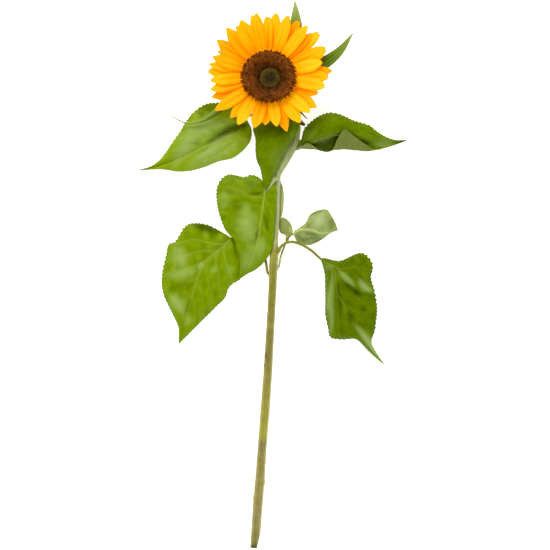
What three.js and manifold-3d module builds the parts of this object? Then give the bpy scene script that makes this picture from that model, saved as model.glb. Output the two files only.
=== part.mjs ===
// A cut sunflower laid on its back on a flat surface, in millimetres.
// +Y runs along the stem, from the cut end to the flower head. +Z points up, out of the face of the flower.
// The stem touches the surface at its cut end and where it bends under the head. The leaves reach down to
// the surface on both sides, so the flower neither rolls nor rocks.
// Places are given from the middle of the flower's length and width. At the end the whole flower is set
// with its origin on the surface, under the middle of its box.
import * as THREE from 'three';
import { mergeVertices } from 'three/addons/utils/BufferGeometryUtils.js';
import Module from 'manifold-3d';

const wasm = await Module();
wasm.setup();

// Driving dimensions.
const gap = 0.3; // clearance kept between pieces that touch
const leafThickness = 1;
const bractThickness = 0.9;
const petalThickness = 0.7;
const headCentre = [-4.5, 219]; // middle of the head, in plan
const headBase = 24; // height of the underside of the receptacle
const rimRadius = 25.5; // radius of the receptacle where the petals grow
const rimTop = 44; // height of the flat top of the receptacle
const discRadius = 29.8;
const discHeight = 9;
const eyeRadius = 12;
const eyeCentre = [1.6, -2.7]; // middle of the green eye, from the middle of the head
const calyxTipRadius = 41;
const calyxTipCount = 22;
const calyxTipSlope = 0.2; // how far a calyx tip falls away from its keel, mm for each mm
const bractKeelSlope = 0.12; // how far a long bract rises from its keel to its edges, mm for each mm
const petalCup = 0.5; // how far a petal's edges rise at its base
const stemSides = 12;
const stemSteps = 60;
const twigSides = 7; // leaf stalks and the side shoot
const bladeRowCount = 12; // rows of points along a leaf's blade
const bladeColumns = 2; // columns of points between two rails

// Colours, as they look in daylight.
const green = '#6f8f14';
const paleGreen = '#8c9a6a';
const stemGreen = '#8b8640';
const petalYellow = '#ffb80a';
const discBrown = '#6b370f';
const eyeOlive = '#4a4220';

// The stem from its cut end to the head: X, Y, Z and radius of points on its axis.
const stemPath = [
  [-20, -301, 5.1, 5],
  [-16.1, -248, 5.6, 5.4],
  [-14.5, -229, 5.7, 5.3],
  [-11.1, -182, 6.5, 4.9],
  [-8.5, -149, 7, 5.1],
  [-6.1, -116, 7.7, 4.9],
  [-2.3, -50, 9.1, 4.5],
  [-0.2, -10, 10.2, 4.5],
  [0.4, 8, 10.5, 4.7],
  [1.7, 27, 11, 4.6],
  [2, 36, 11.1, 3.9],
  [3.2, 66, 11.2, 3.9],
  [3.7, 98, 10.8, 4],
  [4.8, 110, 10.3, 4.3],
  [11, 121.2, 9.4, 4.6],
  [19.9, 137.6, 8.1, 5],
  [24.2, 148.2, 7.2, 5],
  [24.9, 155, 6.6, 5],
  [25.6, 162, 6, 5.1],
  [23.4, 175, 5.8, 5.3],
  [16, 191, 7.6, 5.6],
  [5.6, 206.5, 11.4, 5.8],
  [-1.7, 215.6, 15.2, 6],
  [-4.4, 218.8, 19.4, 6],
  [headCentre[0], headCentre[1], headBase - 2 * gap, 6],
];

// The slanting cut across the right-hand side of the stem's end.
const cutPoint = [-17.5, -301];
const cutDirection = [0.24, 1];

// Petals, clockwise from the top: direction of the tip in degrees, reach from the middle of the head,
// half width, whorl (0 front, 1 middle, 2 back), sideways bend of the tip, lift of the tip,
// how blunt the tip is (0 pointed, 1 broad).
const petals = [
  [104, 69.5, 7.2, 0, 1.2, 1, 1],
  [91, 65, 5.6, 1, 0, 0, 0.8],
  [83, 69, 6.6, 2, 0, 2, 0.5],
  [71, 69, 6.3, 0, -1, -1, 0.5],
  [61, 68, 6.4, 2, 0, 0, 0.6],
  [52.5, 69, 6.3, 0, 0.5, 1, 0.3],
  [45, 66, 5.4, 1, 0, 0, 0],
  [40, 72.5, 7, 2, 0, 1, 0.7],
  [23.4, 68.5, 7.6, 1, -2, -1, 0.4],
  [13, 61, 6.8, 0, -1, 0, 0],
  [5, 70, 6.2, 2, 1, 1, 0.3],
  [358.5, 66, 7, 1, 0, -1, 0.5],
  [349, 63, 7.2, 0, 0, 0, 0.5],
  [338, 58, 6.6, 2, -2, -1, 0],
  [324, 63, 6.2, 1, -1.6, 1, 0],
  [317, 61, 6.6, 0, -1, 0, 0.1],
  [303, 63, 7.2, 1, -1, -1, 0],
  [288, 65, 6.4, 2, 0, 1, 0],
  [279, 57, 6.4, 0, 0, -1, 0],
  [266, 55, 6.8, 2, 0, 0, 0],
  [256, 60, 5.8, 0, 1, -1, 0],
  [237, 64, 6.6, 0, -1, 0, 0.2],
  [228, 63, 6, 1, 0, 1, 0],
  [214, 71, 6.6, 0, 1, -1, 0],
  [207, 67, 7.4, 2, 7, 0, 0],
  [194, 65.6, 6.2, 1, 0, 1, 0.3],
  [185, 64, 6.3, 0, 0, 0, 0.3],
  [176, 67, 6.8, 2, 0, 1, 0.4],
  [169.4, 66.4, 5.6, 1, 0, 0, 0.3],
  [163.4, 65, 6.8, 0, 2, -1, 0.1],
  [149, 69, 8, 2, 4, 0, 0],
  [134.5, 70, 8, 1, 3.5, 0, 0],
  [118.5, 68, 8.2, 2, 2, 1, 0.2],
  [20.5, 65, 4.2, 2, 0, 0, 0.6],
  [154.5, 62, 4.4, 1, 0, 0, 0.3],
  [124, 65, 5, 0, 1, 0, 0.3],
];
const whorlBase = [42.2, 40.7, 39.2]; // height at which each whorl grows
const whorlSlope = [0.12, 0.07, 0.02]; // rise outwards, mm for each mm
const mostRoll = 0.16; // how far a petal's tip turns about its own length at most, as a slope

// Leaves. Rails run from the leaf's base to its tip, from its left edge to its right edge as seen looking
// from the base to the tip. Camber is how far the blade bulges up between two rails.
const leaves = [
  {
    name: 'leaf_upper_left',
    base: [-31, 174.5, 15.5],
    tip: [-148, 115, 1],
    rails: [
      [[-27, 167.6, 15.5], [-23.4, 160, 15], [-24.8, 147, 14], [-41.8, 129.6, 11], [-60, 124.5, 8.5],
        [-75, 118.5, 6], [-90, 114.5, 4], [-104, 113.5, 2.5], [-123, 116, 1.2]],
      [[-38, 162, 15], [-52, 153.5, 14], [-69, 145, 12], [-91, 133.5, 8.5], [-118, 122.5, 3.5]],
      [[-34, 186, 18], [-45, 191.5, 20], [-60, 189.4, 21], [-71, 188.5, 20.5], [-79.6, 184.6, 19.5],
        [-89, 177, 18], [-97, 166, 15.5], [-103.5, 155.5, 13], [-110, 146.5, 11], [-118, 134.5, 7],
        [-125, 126, 4.5], [-134, 119.5, 2.2]],
    ],
    ribRail: 1,
    camber: [2.5, 3.5],
    stalk: [[13.2, 181.6, 8, 1.7], [8, 181.4, 9.8, 1.6], [-2, 180.8, 12.5, 1.6], [-16, 178, 15, 1.6],
      [-33, 171.6, 15.4, 1.2]],
    colour: green,
  },
  {
    name: 'leaf_upper_right',
    base: [29.5, 141.5, 8],
    tip: [147.8, 148, 1],
    rails: [
      [[31.5, 149, 10], [34.5, 160, 12], [41, 167.5, 14], [50, 174, 15.5], [60, 178, 16],
        [70, 177.5, 16], [79, 174.5, 15], [88, 170.2, 13.5], [100, 166.6, 11.5], [107, 164.2, 10],
        [114, 158.4, 8.5], [124, 152.2, 6], [135.5, 148.2, 3]],
      [[40, 144.5, 10.5], [52, 149, 12.5], [67, 153, 13.5], [80, 154, 13.5], [96, 150.5, 11], [118, 147, 6]],
      [[33, 139.2, 6], [45.8, 138, 3.2], [58, 135.8, 2], [67, 137, 2.6], [78, 138, 3.2],
        [90, 137, 2.6], [102, 136, 2], [112, 137, 1.6], [126, 141, 1.2]],
      [[38, 145, 14.5], [46, 141, 9], [53, 136.8, 2], [60, 135.2, 1.4], [66, 138.5, 4.5], [71, 149, 15],
        [79, 159.5, 21.5], [91, 151.5, 15.5], [103, 143, 8.5], [113, 137.6, 3.5], [127, 140.4, 1.6]],
    ],
    ribRail: 1,
    camber: [3, -1.5, 0],
    stalk: [[27.4, 139, 8.6, 1.7], [29, 139.6, 8.6, 1.7], [31, 141.4, 8.7, 1.6], [34, 143, 9, 1.3]],
    colour: green,
  },
  {
    name: 'leaf_front_upper',
    base: [15, 172.5, 20],
    tip: [-8.6, 92.4, 23],
    rails: [
      [[23, 170.5, 21.4], [29.4, 163.6, 19.8], [26.8, 156, 18.4], [22.6, 150, 17.4], [17.8, 143.4, 16.6],
        [12, 132.6, 16.4], [6.6, 120.4, 16.8], [1.2, 108.6, 18.6], [-4, 97.5, 22.4]],
      [[8, 159, 25], [1, 142, 26], [-4, 124, 25.5], [-7, 107, 24.4]],
      [[5, 177, 22], [-9, 175, 23], [-19, 168, 22.5], [-21.6, 160, 21.5], [-19.1, 150, 20.5],
        [-18.9, 134, 19], [-17.4, 125, 18.8], [-13.8, 116.5, 19.5], [-11.3, 104, 21.5]],
    ],
    ribRail: 1,
    camber: [2, 2.5],
    stalk: [[24.8, 169.5, 11.9, 2], [24.4, 170.5, 15, 1.9], [21, 172.2, 18.5, 1.8], [14, 172, 20.2, 1.4]],
    colour: green,
  },
  {
    name: 'leaf_middle',
    base: [-8.8, 90.5, 19],
    tip: [-37, -5, 8],
    rails: [
      [[-3, 98.2, 19], [1.4, 100.4, 18.4], [3.9, 94, 18.4], [3.9, 80, 18.6], [2.8, 62, 18.4],
        [0.4, 37, 17], [-2.1, 25, 16.5], [-8.5, 15.2, 14.5], [-18, 6.1, 11.5], [-28.2, 0.6, 9.5]],
      [[-10.5, 79, 19.6], [-13, 60, 19.6], [-16, 40, 18], [-21.5, 20, 15]],
      [[-13, 104.8, 16], [-23, 109.8, 14], [-32, 107.4, 13.5], [-40, 109.4, 12.5], [-49, 110.3, 11.5],
        [-56.5, 105.5, 10.5], [-61, 97, 10.5], [-62.2, 87.5, 10.5], [-61, 75.5, 11], [-57.5, 62, 11.5],
        [-52.2, 49.5, 12.5], [-43, 38.5, 13.5], [-40, 27, 12.5], [-36.6, 14, 11]],
    ],
    ribRail: 1,
    camber: [1.5, 4],
    stalk: [[3.2, 105.6, 16, 1.8], [1.2, 103.6, 18.2, 1.7], [-3, 98, 19.8, 1.6], [-9.6, 88.5, 19.4, 1.3]],
    colour: green,
  },
  {
    name: 'leaf_lower_left',
    base: [-46, 40, 6.5],
    tip: [-103.4, -76, 1],
    rails: [
      [[-39.5, 32, 5.5], [-34.5, 20, 5], [-33, 7, 5], [-36, -5, 4.5], [-43.6, -9.8, 4], [-48.6, -15, 4],
        [-52.6, -25.5, 3.5], [-61.5, -34.5, 3], [-70.5, -43.5, 2.4], [-80.5, -53.4, 1.8], [-97, -70, 1.1]],
      [[-59, 28, 8], [-73, 16, 9], [-83, -4, 8], [-92.5, -38, 4.5]],
      [[-50, 43.2, 6.5], [-59, 48.6, 8.5], [-70, 54.2, 11], [-80.5, 56.6, 12], [-91.5, 56, 11.5],
        [-98, 51.5, 10], [-103, 43, 8], [-108, 36, 6.5], [-114.5, 33.5, 5], [-117.5, 21, 4],
        [-121.5, 3, 2.6], [-122.3, -10.5, 2], [-119.6, -23.8, 1.5], [-115.2, -33.4, 1.2], [-109.8, -44.6, 1],
        [-104, -57.5, 1]],
    ],
    ribRail: 1,
    camber: [3, 3.5],
    stalk: [[-6, 3, 10, 1.1], [-6.5, 7, 10, 1.3], [-7.6, 14, 9.8, 1.3], [-10, 21, 8.4, 1.5],
      [-20, 32, 7, 1.6], [-35, 39.5, 6.4, 1.6], [-47.5, 39, 6.6, 1.2]],
    colour: green,
  },
  {
    name: 'leaf_lower_right',
    base: [53.4, 17.6, 9.5],
    tip: [120.8, -96.4, 1],
    rails: [
      [[58, 18.2, 10], [68, 15.7, 11], [76.5, 15.9, 11], [84, 19.5, 10.5], [96.4, 24, 9], [103.6, 21.2, 8],
        [109.6, 12.4, 6.5], [109.9, 4.5, 5], [108.1, -2, 5], [112.1, -18, 5], [115, -36.5, 4],
        [114.4, -46, 3.2], [112.2, -62, 2.6], [108.8, -74, 2.4], [115, -87, 1.4]],
      [[67, 7.5, 12], [70.5, -19, 12.5], [79, -34.5, 11], [87, -50.5, 9], [93.5, -66, 6], [106, -82, 3]],
      [[54.3, 12, 8], [56.8, 2, 5], [57.6, -15.5, 2.4], [57.7, -31.5, 1.4], [57.7, -44, 1.2],
        [60.8, -58.8, 1.2], [63.6, -69, 1.2], [76.5, -71.4, 1.6], [91.5, -71.1, 3.4], [104.6, -83.6, 1.6],
        [113.8, -92, 1.2]],
    ],
    ribRail: 1,
    camber: [2.5, 5],
    stalk: [[6.4, 25.2, 14.4, 1.5], [8.8, 30.4, 16.2, 1.5], [14, 34.7, 17.2, 1.5], [22, 36, 17, 1.5],
      [32.6, 32.6, 15.6, 1.5], [42.4, 26.5, 13, 1.5], [50, 19.8, 10.2, 1.5], [55.6, 14.6, 9.8, 1.1]],
    colour: green,
  },
  {
    name: 'leaf_shoot_left',
    base: [16.2, 44.6, 10.6],
    tip: [10.4, 63.2, 6.5],
    rails: [
      [[12.2, 44.4, 8], [8, 46.8, 5.4], [6.6, 55, 4.6], [7.4, 60.8, 5.4]],
      [[15, 50, 9.8], [13.4, 56, 8.8], [12.2, 61, 7.6]],
      [[20, 44.4, 10.6], [22, 48.6, 10.4], [20.4, 55, 9.4], [17, 59.8, 8.4], [13.6, 62.2, 7.2]],
    ],
    ribRail: 1,
    camber: [0.8, 1],
    stalk: [[16.4, 42, 10.8, 1.1], [16.3, 43.4, 10.8, 1.1], [16.1, 45, 10.7, 1.1], [15.4, 49, 10.2, 0.9]],
    colour: paleGreen,
  },
  {
    name: 'leaf_shoot_right',
    base: [22, 44.8, 12.4],
    tip: [71.9, 49, 8],
    rails: [
      [[25, 48.6, 13], [31, 53, 12.4], [36.4, 57.4, 11.6], [41, 66, 10.6], [50, 70.8, 10], [59.6, 71.6, 9.4],
        [64.2, 65.6, 9], [68.6, 57.8, 8.6]],
      [[27.4, 48.6, 14.4], [34.5, 50, 15], [43.4, 49, 14.8], [52.5, 45.8, 13], [62, 46.4, 10.4]],
      [[23.7, 42.2, 11.4], [26.8, 36.6, 9.6], [38.8, 32.5, 8.4], [46.8, 34.7, 8], [56.6, 40.3, 8],
        [64.2, 46, 8]],
    ],
    ribRail: 1,
    camber: [1.6, 0.6],
    stalk: [[17.6, 41.6, 12.6, 1.1], [19.6, 43.4, 12.8, 1.1], [23.6, 45.4, 12.8, 0.9]],
    colour: paleGreen,
  },
  {
    name: 'leaf_behind_stem',
    base: [8.8, 100.5, 4.6],
    tip: [7.6, 60.5, 3.4],
    rails: [
      [[11.2, 96, 4.6], [12.3, 88, 4.4], [12.1, 78, 4.2], [10.4, 67, 3.8]],
      [[8.6, 90, 3.6], [7.6, 80, 3.2], [7.6, 70, 3.2]],
      [[4.4, 96, 3.8], [1.6, 88, 3.2], [1.8, 78, 3], [4.6, 67, 3.2]],
    ],
    ribRail: 1,
    camber: [0.6, 0.6],
    stalk: [[7, 105.4, 5.7, 1.2], [7.5, 104, 5, 1.2], [8.4, 98.4, 4.5, 0.9]],
    colour: paleGreen,
  },
];

// Long leafy bracts that reach out past the petals: X, Y, Z and half width of points on the midrib.
const longBracts = {
  bract_top: [[5.1, 235.4, 26.7, 3], [7.8, 240, 30, 3.6], [10.8, 245, 33.2, 4.4], [18.6, 258, 34.6, 6],
    [24.9, 272, 35.6, 7.2], [25.2, 285, 35.4, 4.7], [24.4, 301.4, 34, 0.5]],
  bract_right: [[14.3, 220.6, 26.7, 3], [20, 221.6, 30.2, 3.8], [26, 222.8, 33.4, 4.6], [42, 226.4, 35, 5.4],
    [58, 231.8, 35.8, 5.8], [73.4, 245.8, 36.4, 4.8], [88.4, 265.7, 36, 0.5]],
  bract_left: [[-20.8, 209.4, 26.7, 3], [-25.6, 206.4, 30.2, 3.8], [-31, 203, 33.2, 4.4],
    [-52, 188.6, 32.4, 5], [-64, 177.4, 30.6, 4.4], [-77, 169.6, 27.2, 2.4], [-95, 166.8, 24, 0.9],
    [-112.2, 174.8, 22, 0.4]],
  bract_lower_right: [[8.2, 205, 26.6, 3], [11.8, 201, 30, 3.6], [15.8, 196.4, 33, 4.2], [24, 187, 34.2, 3.6],
    [30.4, 179, 34, 1.4], [38, 171, 32, 0.4]],
  bract_bottom: [[6.2, 203, 25.2, 2.6], [9.4, 198.6, 28.6, 3.2], [12.8, 193.8, 31.6, 3.6],
    [21, 182, 32.8, 3.6], [28.6, 171.4, 32.4, 2.2], [33, 165.4, 30, 0.8]],
};

const sideShootPath = [
  [6.7, 9.4, 9.9, 1.2],
  [7.2, 11.5, 9.9, 1.3],
  [8, 16, 10.1, 1.3],
  [9.6, 22.4, 10.5, 1.3],
  [12.1, 29.4, 10.8, 1.3],
  [14.7, 36.4, 10.9, 1.2],
  [16.2, 41.5, 10.9, 1.2],
];

function vector(point) {
  return new THREE.Vector3(point[0], point[1], point[2]);
}

function smoothCurve(points) {
  return new THREE.CatmullRomCurve3(points.map(vector), false, 'centripetal');
}

function meshFrom(positions, triangles) {
  const geometry = new THREE.BufferGeometry();
  geometry.setAttribute('position', new THREE.Float32BufferAttribute(positions, 3));
  geometry.setIndex(triangles);
  geometry.computeVertexNormals();
  return geometry;
}

function toSolid(geometry) {
  const bare = geometry.clone();
  bare.deleteAttribute('normal');
  bare.deleteAttribute('uv');
  const merged = mergeVertices(bare, 1e-4);
  return new wasm.Manifold(new wasm.Mesh({
    numProp: 3,
    vertProperties: merged.attributes.position.array,
    triVerts: new Uint32Array(merged.index.array),
  }));
}

function toGeometry(solid) {
  const result = solid.getMesh();
  return meshFrom(result.vertProperties, Array.from(result.triVerts));
}

// A sheet of even thickness whose middle surface passes through a grid of points.
function thinSolid(rows, thickness) {
  const lastRow = rows.length - 1;
  const lastColumn = rows[0].length - 1;
  const positions = [];
  for (const side of [0.5, -0.5]) {
    for (let i = 0; i <= lastRow; i += 1) {
      for (let j = 0; j <= lastColumn; j += 1) {
        const along = rows[Math.min(i + 1, lastRow)][j].clone().sub(rows[Math.max(i - 1, 0)][j]);
        const across = rows[i][Math.min(j + 1, lastColumn)].clone().sub(rows[i][Math.max(j - 1, 0)]);
        const normal = across.cross(along).normalize();
        const point = rows[i][j].clone().addScaledVector(normal, side * thickness);
        positions.push(point.x, point.y, point.z);
      }
    }
  }
  const at = (side, i, j) => (side * (lastRow + 1) + i) * (lastColumn + 1) + j;
  const triangles = [];
  const quad = (a, b, c, d) => triangles.push(a, b, c, a, c, d);
  for (let i = 0; i < lastRow; i += 1) {
    for (let j = 0; j < lastColumn; j += 1) {
      quad(at(0, i, j), at(0, i, j + 1), at(0, i + 1, j + 1), at(0, i + 1, j));
      quad(at(1, i, j), at(1, i + 1, j), at(1, i + 1, j + 1), at(1, i, j + 1));
    }
    quad(at(0, i, 0), at(0, i + 1, 0), at(1, i + 1, 0), at(1, i, 0));
    quad(at(0, i, lastColumn), at(1, i, lastColumn), at(1, i + 1, lastColumn), at(0, i + 1, lastColumn));
  }
  for (let j = 0; j < lastColumn; j += 1) {
    quad(at(0, 0, j), at(1, 0, j), at(1, 0, j + 1), at(0, 0, j + 1));
    quad(at(0, lastRow, j), at(0, lastRow, j + 1), at(1, lastRow, j + 1), at(1, lastRow, j));
  }
  return meshFrom(positions, triangles);
}

// A round stalk along points of X, Y, Z and radius, closed at both ends.
function stalk(path, steps, sides) {
  const curve = smoothCurve(path);
  const frames = curve.computeFrenetFrames(steps, false);
  const positions = [];
  for (let i = 0; i <= steps; i += 1) {
    const centre = curve.getPointAt(i / steps);
    const place = curve.getUtoTmapping(i / steps) * (path.length - 1);
    const before = Math.min(Math.floor(place), path.length - 2);
    const radius = THREE.MathUtils.lerp(path[before][3], path[before + 1][3], place - before);
    for (let k = 0; k < sides; k += 1) {
      const angle = (2 * Math.PI * k) / sides;
      const point = centre.clone()
        .addScaledVector(frames.normals[i], radius * Math.cos(angle))
        .addScaledVector(frames.binormals[i], radius * Math.sin(angle));
      positions.push(point.x, point.y, point.z);
    }
  }
  const triangles = [];
  const end = steps * sides;
  for (let k = 0; k < sides; k += 1) {
    const next = (k + 1) % sides;
    for (let here = 0; here < end; here += sides) {
      const there = here + sides;
      triangles.push(here + k, here + next, there + next, here + k, there + next, there + k);
    }
    if (k > 0 && k < sides - 1) {
      triangles.push(0, next, k, end, end + k, end + next);
    }
  }
  return meshFrom(positions, triangles);
}

// Rows of points over a leaf's blade, from its base to its tip.
function bladeRows(leaf) {
  const base = vector(leaf.base);
  const tip = vector(leaf.tip);
  const rib = leaf.rails[leaf.ribRail];
  const middle = (leaf.rails.length - 1) / 2;
  const sideways = (from, to) => new THREE.Vector3(from.y - to.y, to.x - from.x, 0).normalize();
  const leftAtBase = sideways(base, vector(rib[0]));
  const leftAtTip = sideways(vector(rib[rib.length - 1]), tip);
  const rails = leaf.rails.map((rail, index) => {
    const start = base.clone().addScaledVector(leftAtBase, middle - index);
    const end = tip.clone().addScaledVector(leftAtTip, 0.5 * (middle - index));
    return new THREE.CatmullRomCurve3([start, ...rail.map(vector), end], false, 'centripetal');
  });
  const rows = [];
  for (let i = 0; i <= bladeRowCount; i += 1) {
    const along = i / bladeRowCount;
    const onRails = rails.map((rail) => rail.getPointAt(along));
    const row = [onRails[0]];
    leaf.camber.forEach((height, strip) => {
      for (let j = 1; j <= bladeColumns; j += 1) {
        const across = j / bladeColumns;
        const point = onRails[strip].clone().lerp(onRails[strip + 1], across);
        point.z += height * 4 * across * (1 - across) * Math.sqrt(Math.sin(Math.PI * along));
        row.push(point);
      }
    });
    rows.push(row);
  }
  return rows;
}

// A leaf is one piece: its blade and the stalk that carries it.
function leafGeometry(leaf) {
  const blade = toSolid(thinSolid(bladeRows(leaf), leafThickness));
  const leafStalk = toSolid(stalk(leaf.stalk, 2 * leaf.stalk.length, twigSides));
  return toGeometry(blade.add(leafStalk));
}

function longBractGeometry(path) {
  const curve = smoothCurve(path);
  const rowCount = path.length + 2;
  const rows = [];
  for (let i = 0; i <= rowCount; i += 1) {
    const place = (i / rowCount) * (path.length - 1);
    const before = Math.min(Math.floor(place), path.length - 2);
    const halfWidth = THREE.MathUtils.lerp(path[before][3], path[before + 1][3], place - before);
    const centre = curve.getPoint(i / rowCount);
    const ahead = curve.getTangent(i / rowCount);
    const right = new THREE.Vector3(ahead.y, -ahead.x, 0).normalize();
    rows.push([-1, 0, 1].map((across) => {
      const point = centre.clone().addScaledVector(right, across * halfWidth);
      point.z += bractKeelSlope * halfWidth * Math.abs(across);
      return point;
    }));
  }
  return thinSolid(rows, bractThickness);
}

// How a petal's half width changes from its base (0) to its tip (1).
function petalOutline(along, blunt) {
  const opening = 0.55 + 0.45 * Math.sin((Math.PI / 2) * Math.min(1, along / 0.4));
  const closing = Math.max(0, (along - 0.62) / 0.38);
  return opening * (1 - (0.92 - 0.35 * blunt) * closing ** (1.7 + blunt));
}

function petalGeometry([direction, reach, halfWidth, whorl, bend, lift, blunt]) {
  const angle = THREE.MathUtils.degToRad(direction);
  const outwards = new THREE.Vector3(Math.cos(angle), Math.sin(angle), 0);
  const right = new THREE.Vector3(Math.sin(angle), -Math.cos(angle), 0);
  const start = rimRadius + gap;
  const rows = [0, 0.2, 0.4, 0.62, 0.78, 0.9, 1].map((along) => {
    const radius = THREE.MathUtils.lerp(start, reach, along);
    return [-1, 0, 1].map((across) => {
      const sideways = across * halfWidth * petalOutline(along, blunt) + bend * along * along;
      const height = whorlBase[whorl] + whorlSlope[whorl] * (radius - start) + lift * along ** 3;
      const cup = petalCup * (1 - along) * across * across;
      const roll = mostRoll * Math.sin(direction) * along * along * sideways;
      return new THREE.Vector3(headCentre[0], headCentre[1], height + cup + roll)
        .addScaledVector(outwards, radius)
        .addScaledVector(right, sideways);
    });
  });
  return thinSolid(rows, petalThickness);
}

// A solid turned about the head's upright axis from a profile of radius and height.
function turned(profile, segments, [x, y] = [0, 0]) {
  const points = profile.map(([radius, height]) => new THREE.Vector2(radius, height));
  const geometry = new THREE.LatheGeometry(points, segments);
  geometry.rotateX(Math.PI / 2);
  geometry.translate(headCentre[0] + x, headCentre[1] + y, 0);
  return geometry;
}

function receptacleGeometry() {
  return turned([
    [0, headBase],
    [6.5, headBase],
    [10, headBase + 1.5],
    [15, headBase + 4.5],
    [20, headBase + 7.5],
    [24, headBase + 11],
    [rimRadius, headBase + 14],
    [rimRadius, rimTop],
    [0, rimTop],
  ], 32);
}

// The green cup under the petals, with its ring of pointed bracts.
function calyxGeometry() {
  const cup = turned([
    [15.9, 26.6],
    [20.9, 29.6],
    [25.3, 33.6],
    [27.6, 36.4],
    [26.4, 37.4],
    [24.5, 34.6],
    [20.4, 30.9],
    [15.4, 27.9],
    [15.9, 26.6],
  ], 22);
  const stations = [[25.9, 35.6, 4.4], [29, 36.8, 5], [34, 37, 3.8], [calyxTipRadius, 36.6, 0.5]];
  let solid = toSolid(cup);
  for (let k = 0; k < calyxTipCount; k += 1) {
    const angle = (2 * Math.PI * k) / calyxTipCount;
    const right = [Math.sin(angle), -Math.cos(angle)];
    const rows = stations.map(([radius, height, halfWidth]) => [-1, 0, 1].map((across) => (
      new THREE.Vector3(
        headCentre[0] + radius * Math.cos(angle) + across * halfWidth * right[0],
        headCentre[1] + radius * Math.sin(angle) + across * halfWidth * right[1],
        height - calyxTipSlope * Math.abs(across),
      )
    )));
    solid = solid.add(toSolid(thinSolid(rows, 0.8)));
  }
  return toGeometry(solid);
}

// The brown florets: a domed ring that leans out over the petals, round the off-centre eye.
function discFloretsGeometry() {
  const floor = rimTop + gap;
  const top = rimTop + discHeight;
  const ring = toSolid(turned([
    [6, floor],
    [25, floor],
    [28, floor + 0.7],
    [discRadius, floor + 2],
    [discRadius, top - 2.5],
    [27.5, top - 0.6],
    [23, top],
    [17.5, top - 1.2],
    [13, top - 3.6],
    [6, top - 3.6],
    [6, floor],
  ], 40));
  const well = new THREE.CylinderGeometry(eyeRadius + gap, eyeRadius + gap, 4 * discHeight, 32);
  well.rotateX(Math.PI / 2);
  well.translate(headCentre[0] + eyeCentre[0], headCentre[1] + eyeCentre[1], rimTop);
  return toGeometry(ring.subtract(toSolid(well)));
}

function discEyeGeometry() {
  const floor = rimTop + gap;
  const top = rimTop + discHeight - 3.6;
  return turned([
    [0, floor],
    [eyeRadius, floor],
    [eyeRadius, top],
    [9, top + 0.8],
    [4.5, top + 0.4],
    [0, top - 0.2],
  ], 32, eyeCentre);
}

function stemGeometry() {
  const whole = toSolid(stalk(stemPath, stemSteps, stemSides));
  const cutter = new THREE.BoxGeometry(40, 120, 40);
  cutter.translate(20, 0, 0);
  cutter.rotateZ(-Math.atan2(cutDirection[0], cutDirection[1]));
  cutter.translate(cutPoint[0], cutPoint[1], 0);
  return toGeometry(whole.subtract(toSolid(cutter)));
}

function piece(name, geometry, colour, roughness) {
  const material = new THREE.MeshStandardMaterial({ color: colour, roughness, metalness: 0 });
  const mesh = new THREE.Mesh(geometry, material);
  mesh.name = name;
  return mesh;
}

const flower = new THREE.Group();
flower.add(piece('stem', stemGeometry(), stemGreen, 0.6));
flower.add(piece('side_shoot', stalk(sideShootPath, 10, twigSides), stemGreen, 0.6));
flower.add(piece('receptacle', receptacleGeometry(), green, 0.7));
flower.add(piece('calyx', calyxGeometry(), green, 0.7));
flower.add(piece('disc_florets', discFloretsGeometry(), discBrown, 0.9));
flower.add(piece('disc_eye', discEyeGeometry(), eyeOlive, 0.9));
petals.forEach((petal, index) => {
  const number = String(index + 1).padStart(2, '0');
  flower.add(piece(`petal_${number}`, petalGeometry(petal), petalYellow, 0.6));
});
leaves.forEach((leaf) => {
  flower.add(piece(leaf.name, leafGeometry(leaf), leaf.colour, 0.5));
});
Object.entries(longBracts).forEach(([name, path]) => {
  flower.add(piece(name, longBractGeometry(path), green, 0.6));
});

const box = new THREE.Box3().setFromObject(flower);
const middle = box.getCenter(new THREE.Vector3());
flower.position.set(-middle.x, -middle.y, -box.min.z);

const group = new THREE.Group();
group.add(flower);

export default group;
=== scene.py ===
import math
import bmesh
import bpy
import numpy as np
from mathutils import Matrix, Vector


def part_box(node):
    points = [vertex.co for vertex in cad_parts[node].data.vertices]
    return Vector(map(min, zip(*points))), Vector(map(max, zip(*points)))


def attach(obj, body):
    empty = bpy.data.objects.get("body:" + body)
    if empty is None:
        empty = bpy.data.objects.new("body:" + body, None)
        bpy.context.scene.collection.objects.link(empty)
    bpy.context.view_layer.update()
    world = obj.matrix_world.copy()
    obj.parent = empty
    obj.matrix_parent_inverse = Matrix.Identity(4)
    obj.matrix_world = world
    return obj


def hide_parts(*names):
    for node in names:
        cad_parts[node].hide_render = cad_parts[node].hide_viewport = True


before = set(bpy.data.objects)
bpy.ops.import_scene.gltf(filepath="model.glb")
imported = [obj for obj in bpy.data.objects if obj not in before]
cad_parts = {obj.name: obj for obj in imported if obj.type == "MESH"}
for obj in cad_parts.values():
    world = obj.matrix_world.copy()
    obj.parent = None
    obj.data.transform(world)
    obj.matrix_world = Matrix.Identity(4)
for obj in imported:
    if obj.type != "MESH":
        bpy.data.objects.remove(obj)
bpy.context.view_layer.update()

# A cut sunflower lying on its back. Every length is in millimetres until a mesh or a light is made.
# +Y runs up the stem to the head, +Z points out of the flower's face, +X is to the right.
mm = 0.001
tableClearance = 0.05  # nothing dips into the surface it lies on
pointsPerSpan = 16  # of a rounded line, between two of the points it is drawn through
chance = np.random.default_rng(7)  # seeded, so the flower is the same every time

print("cut sunflower: frame loaded,", len(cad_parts), "nodes")

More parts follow.
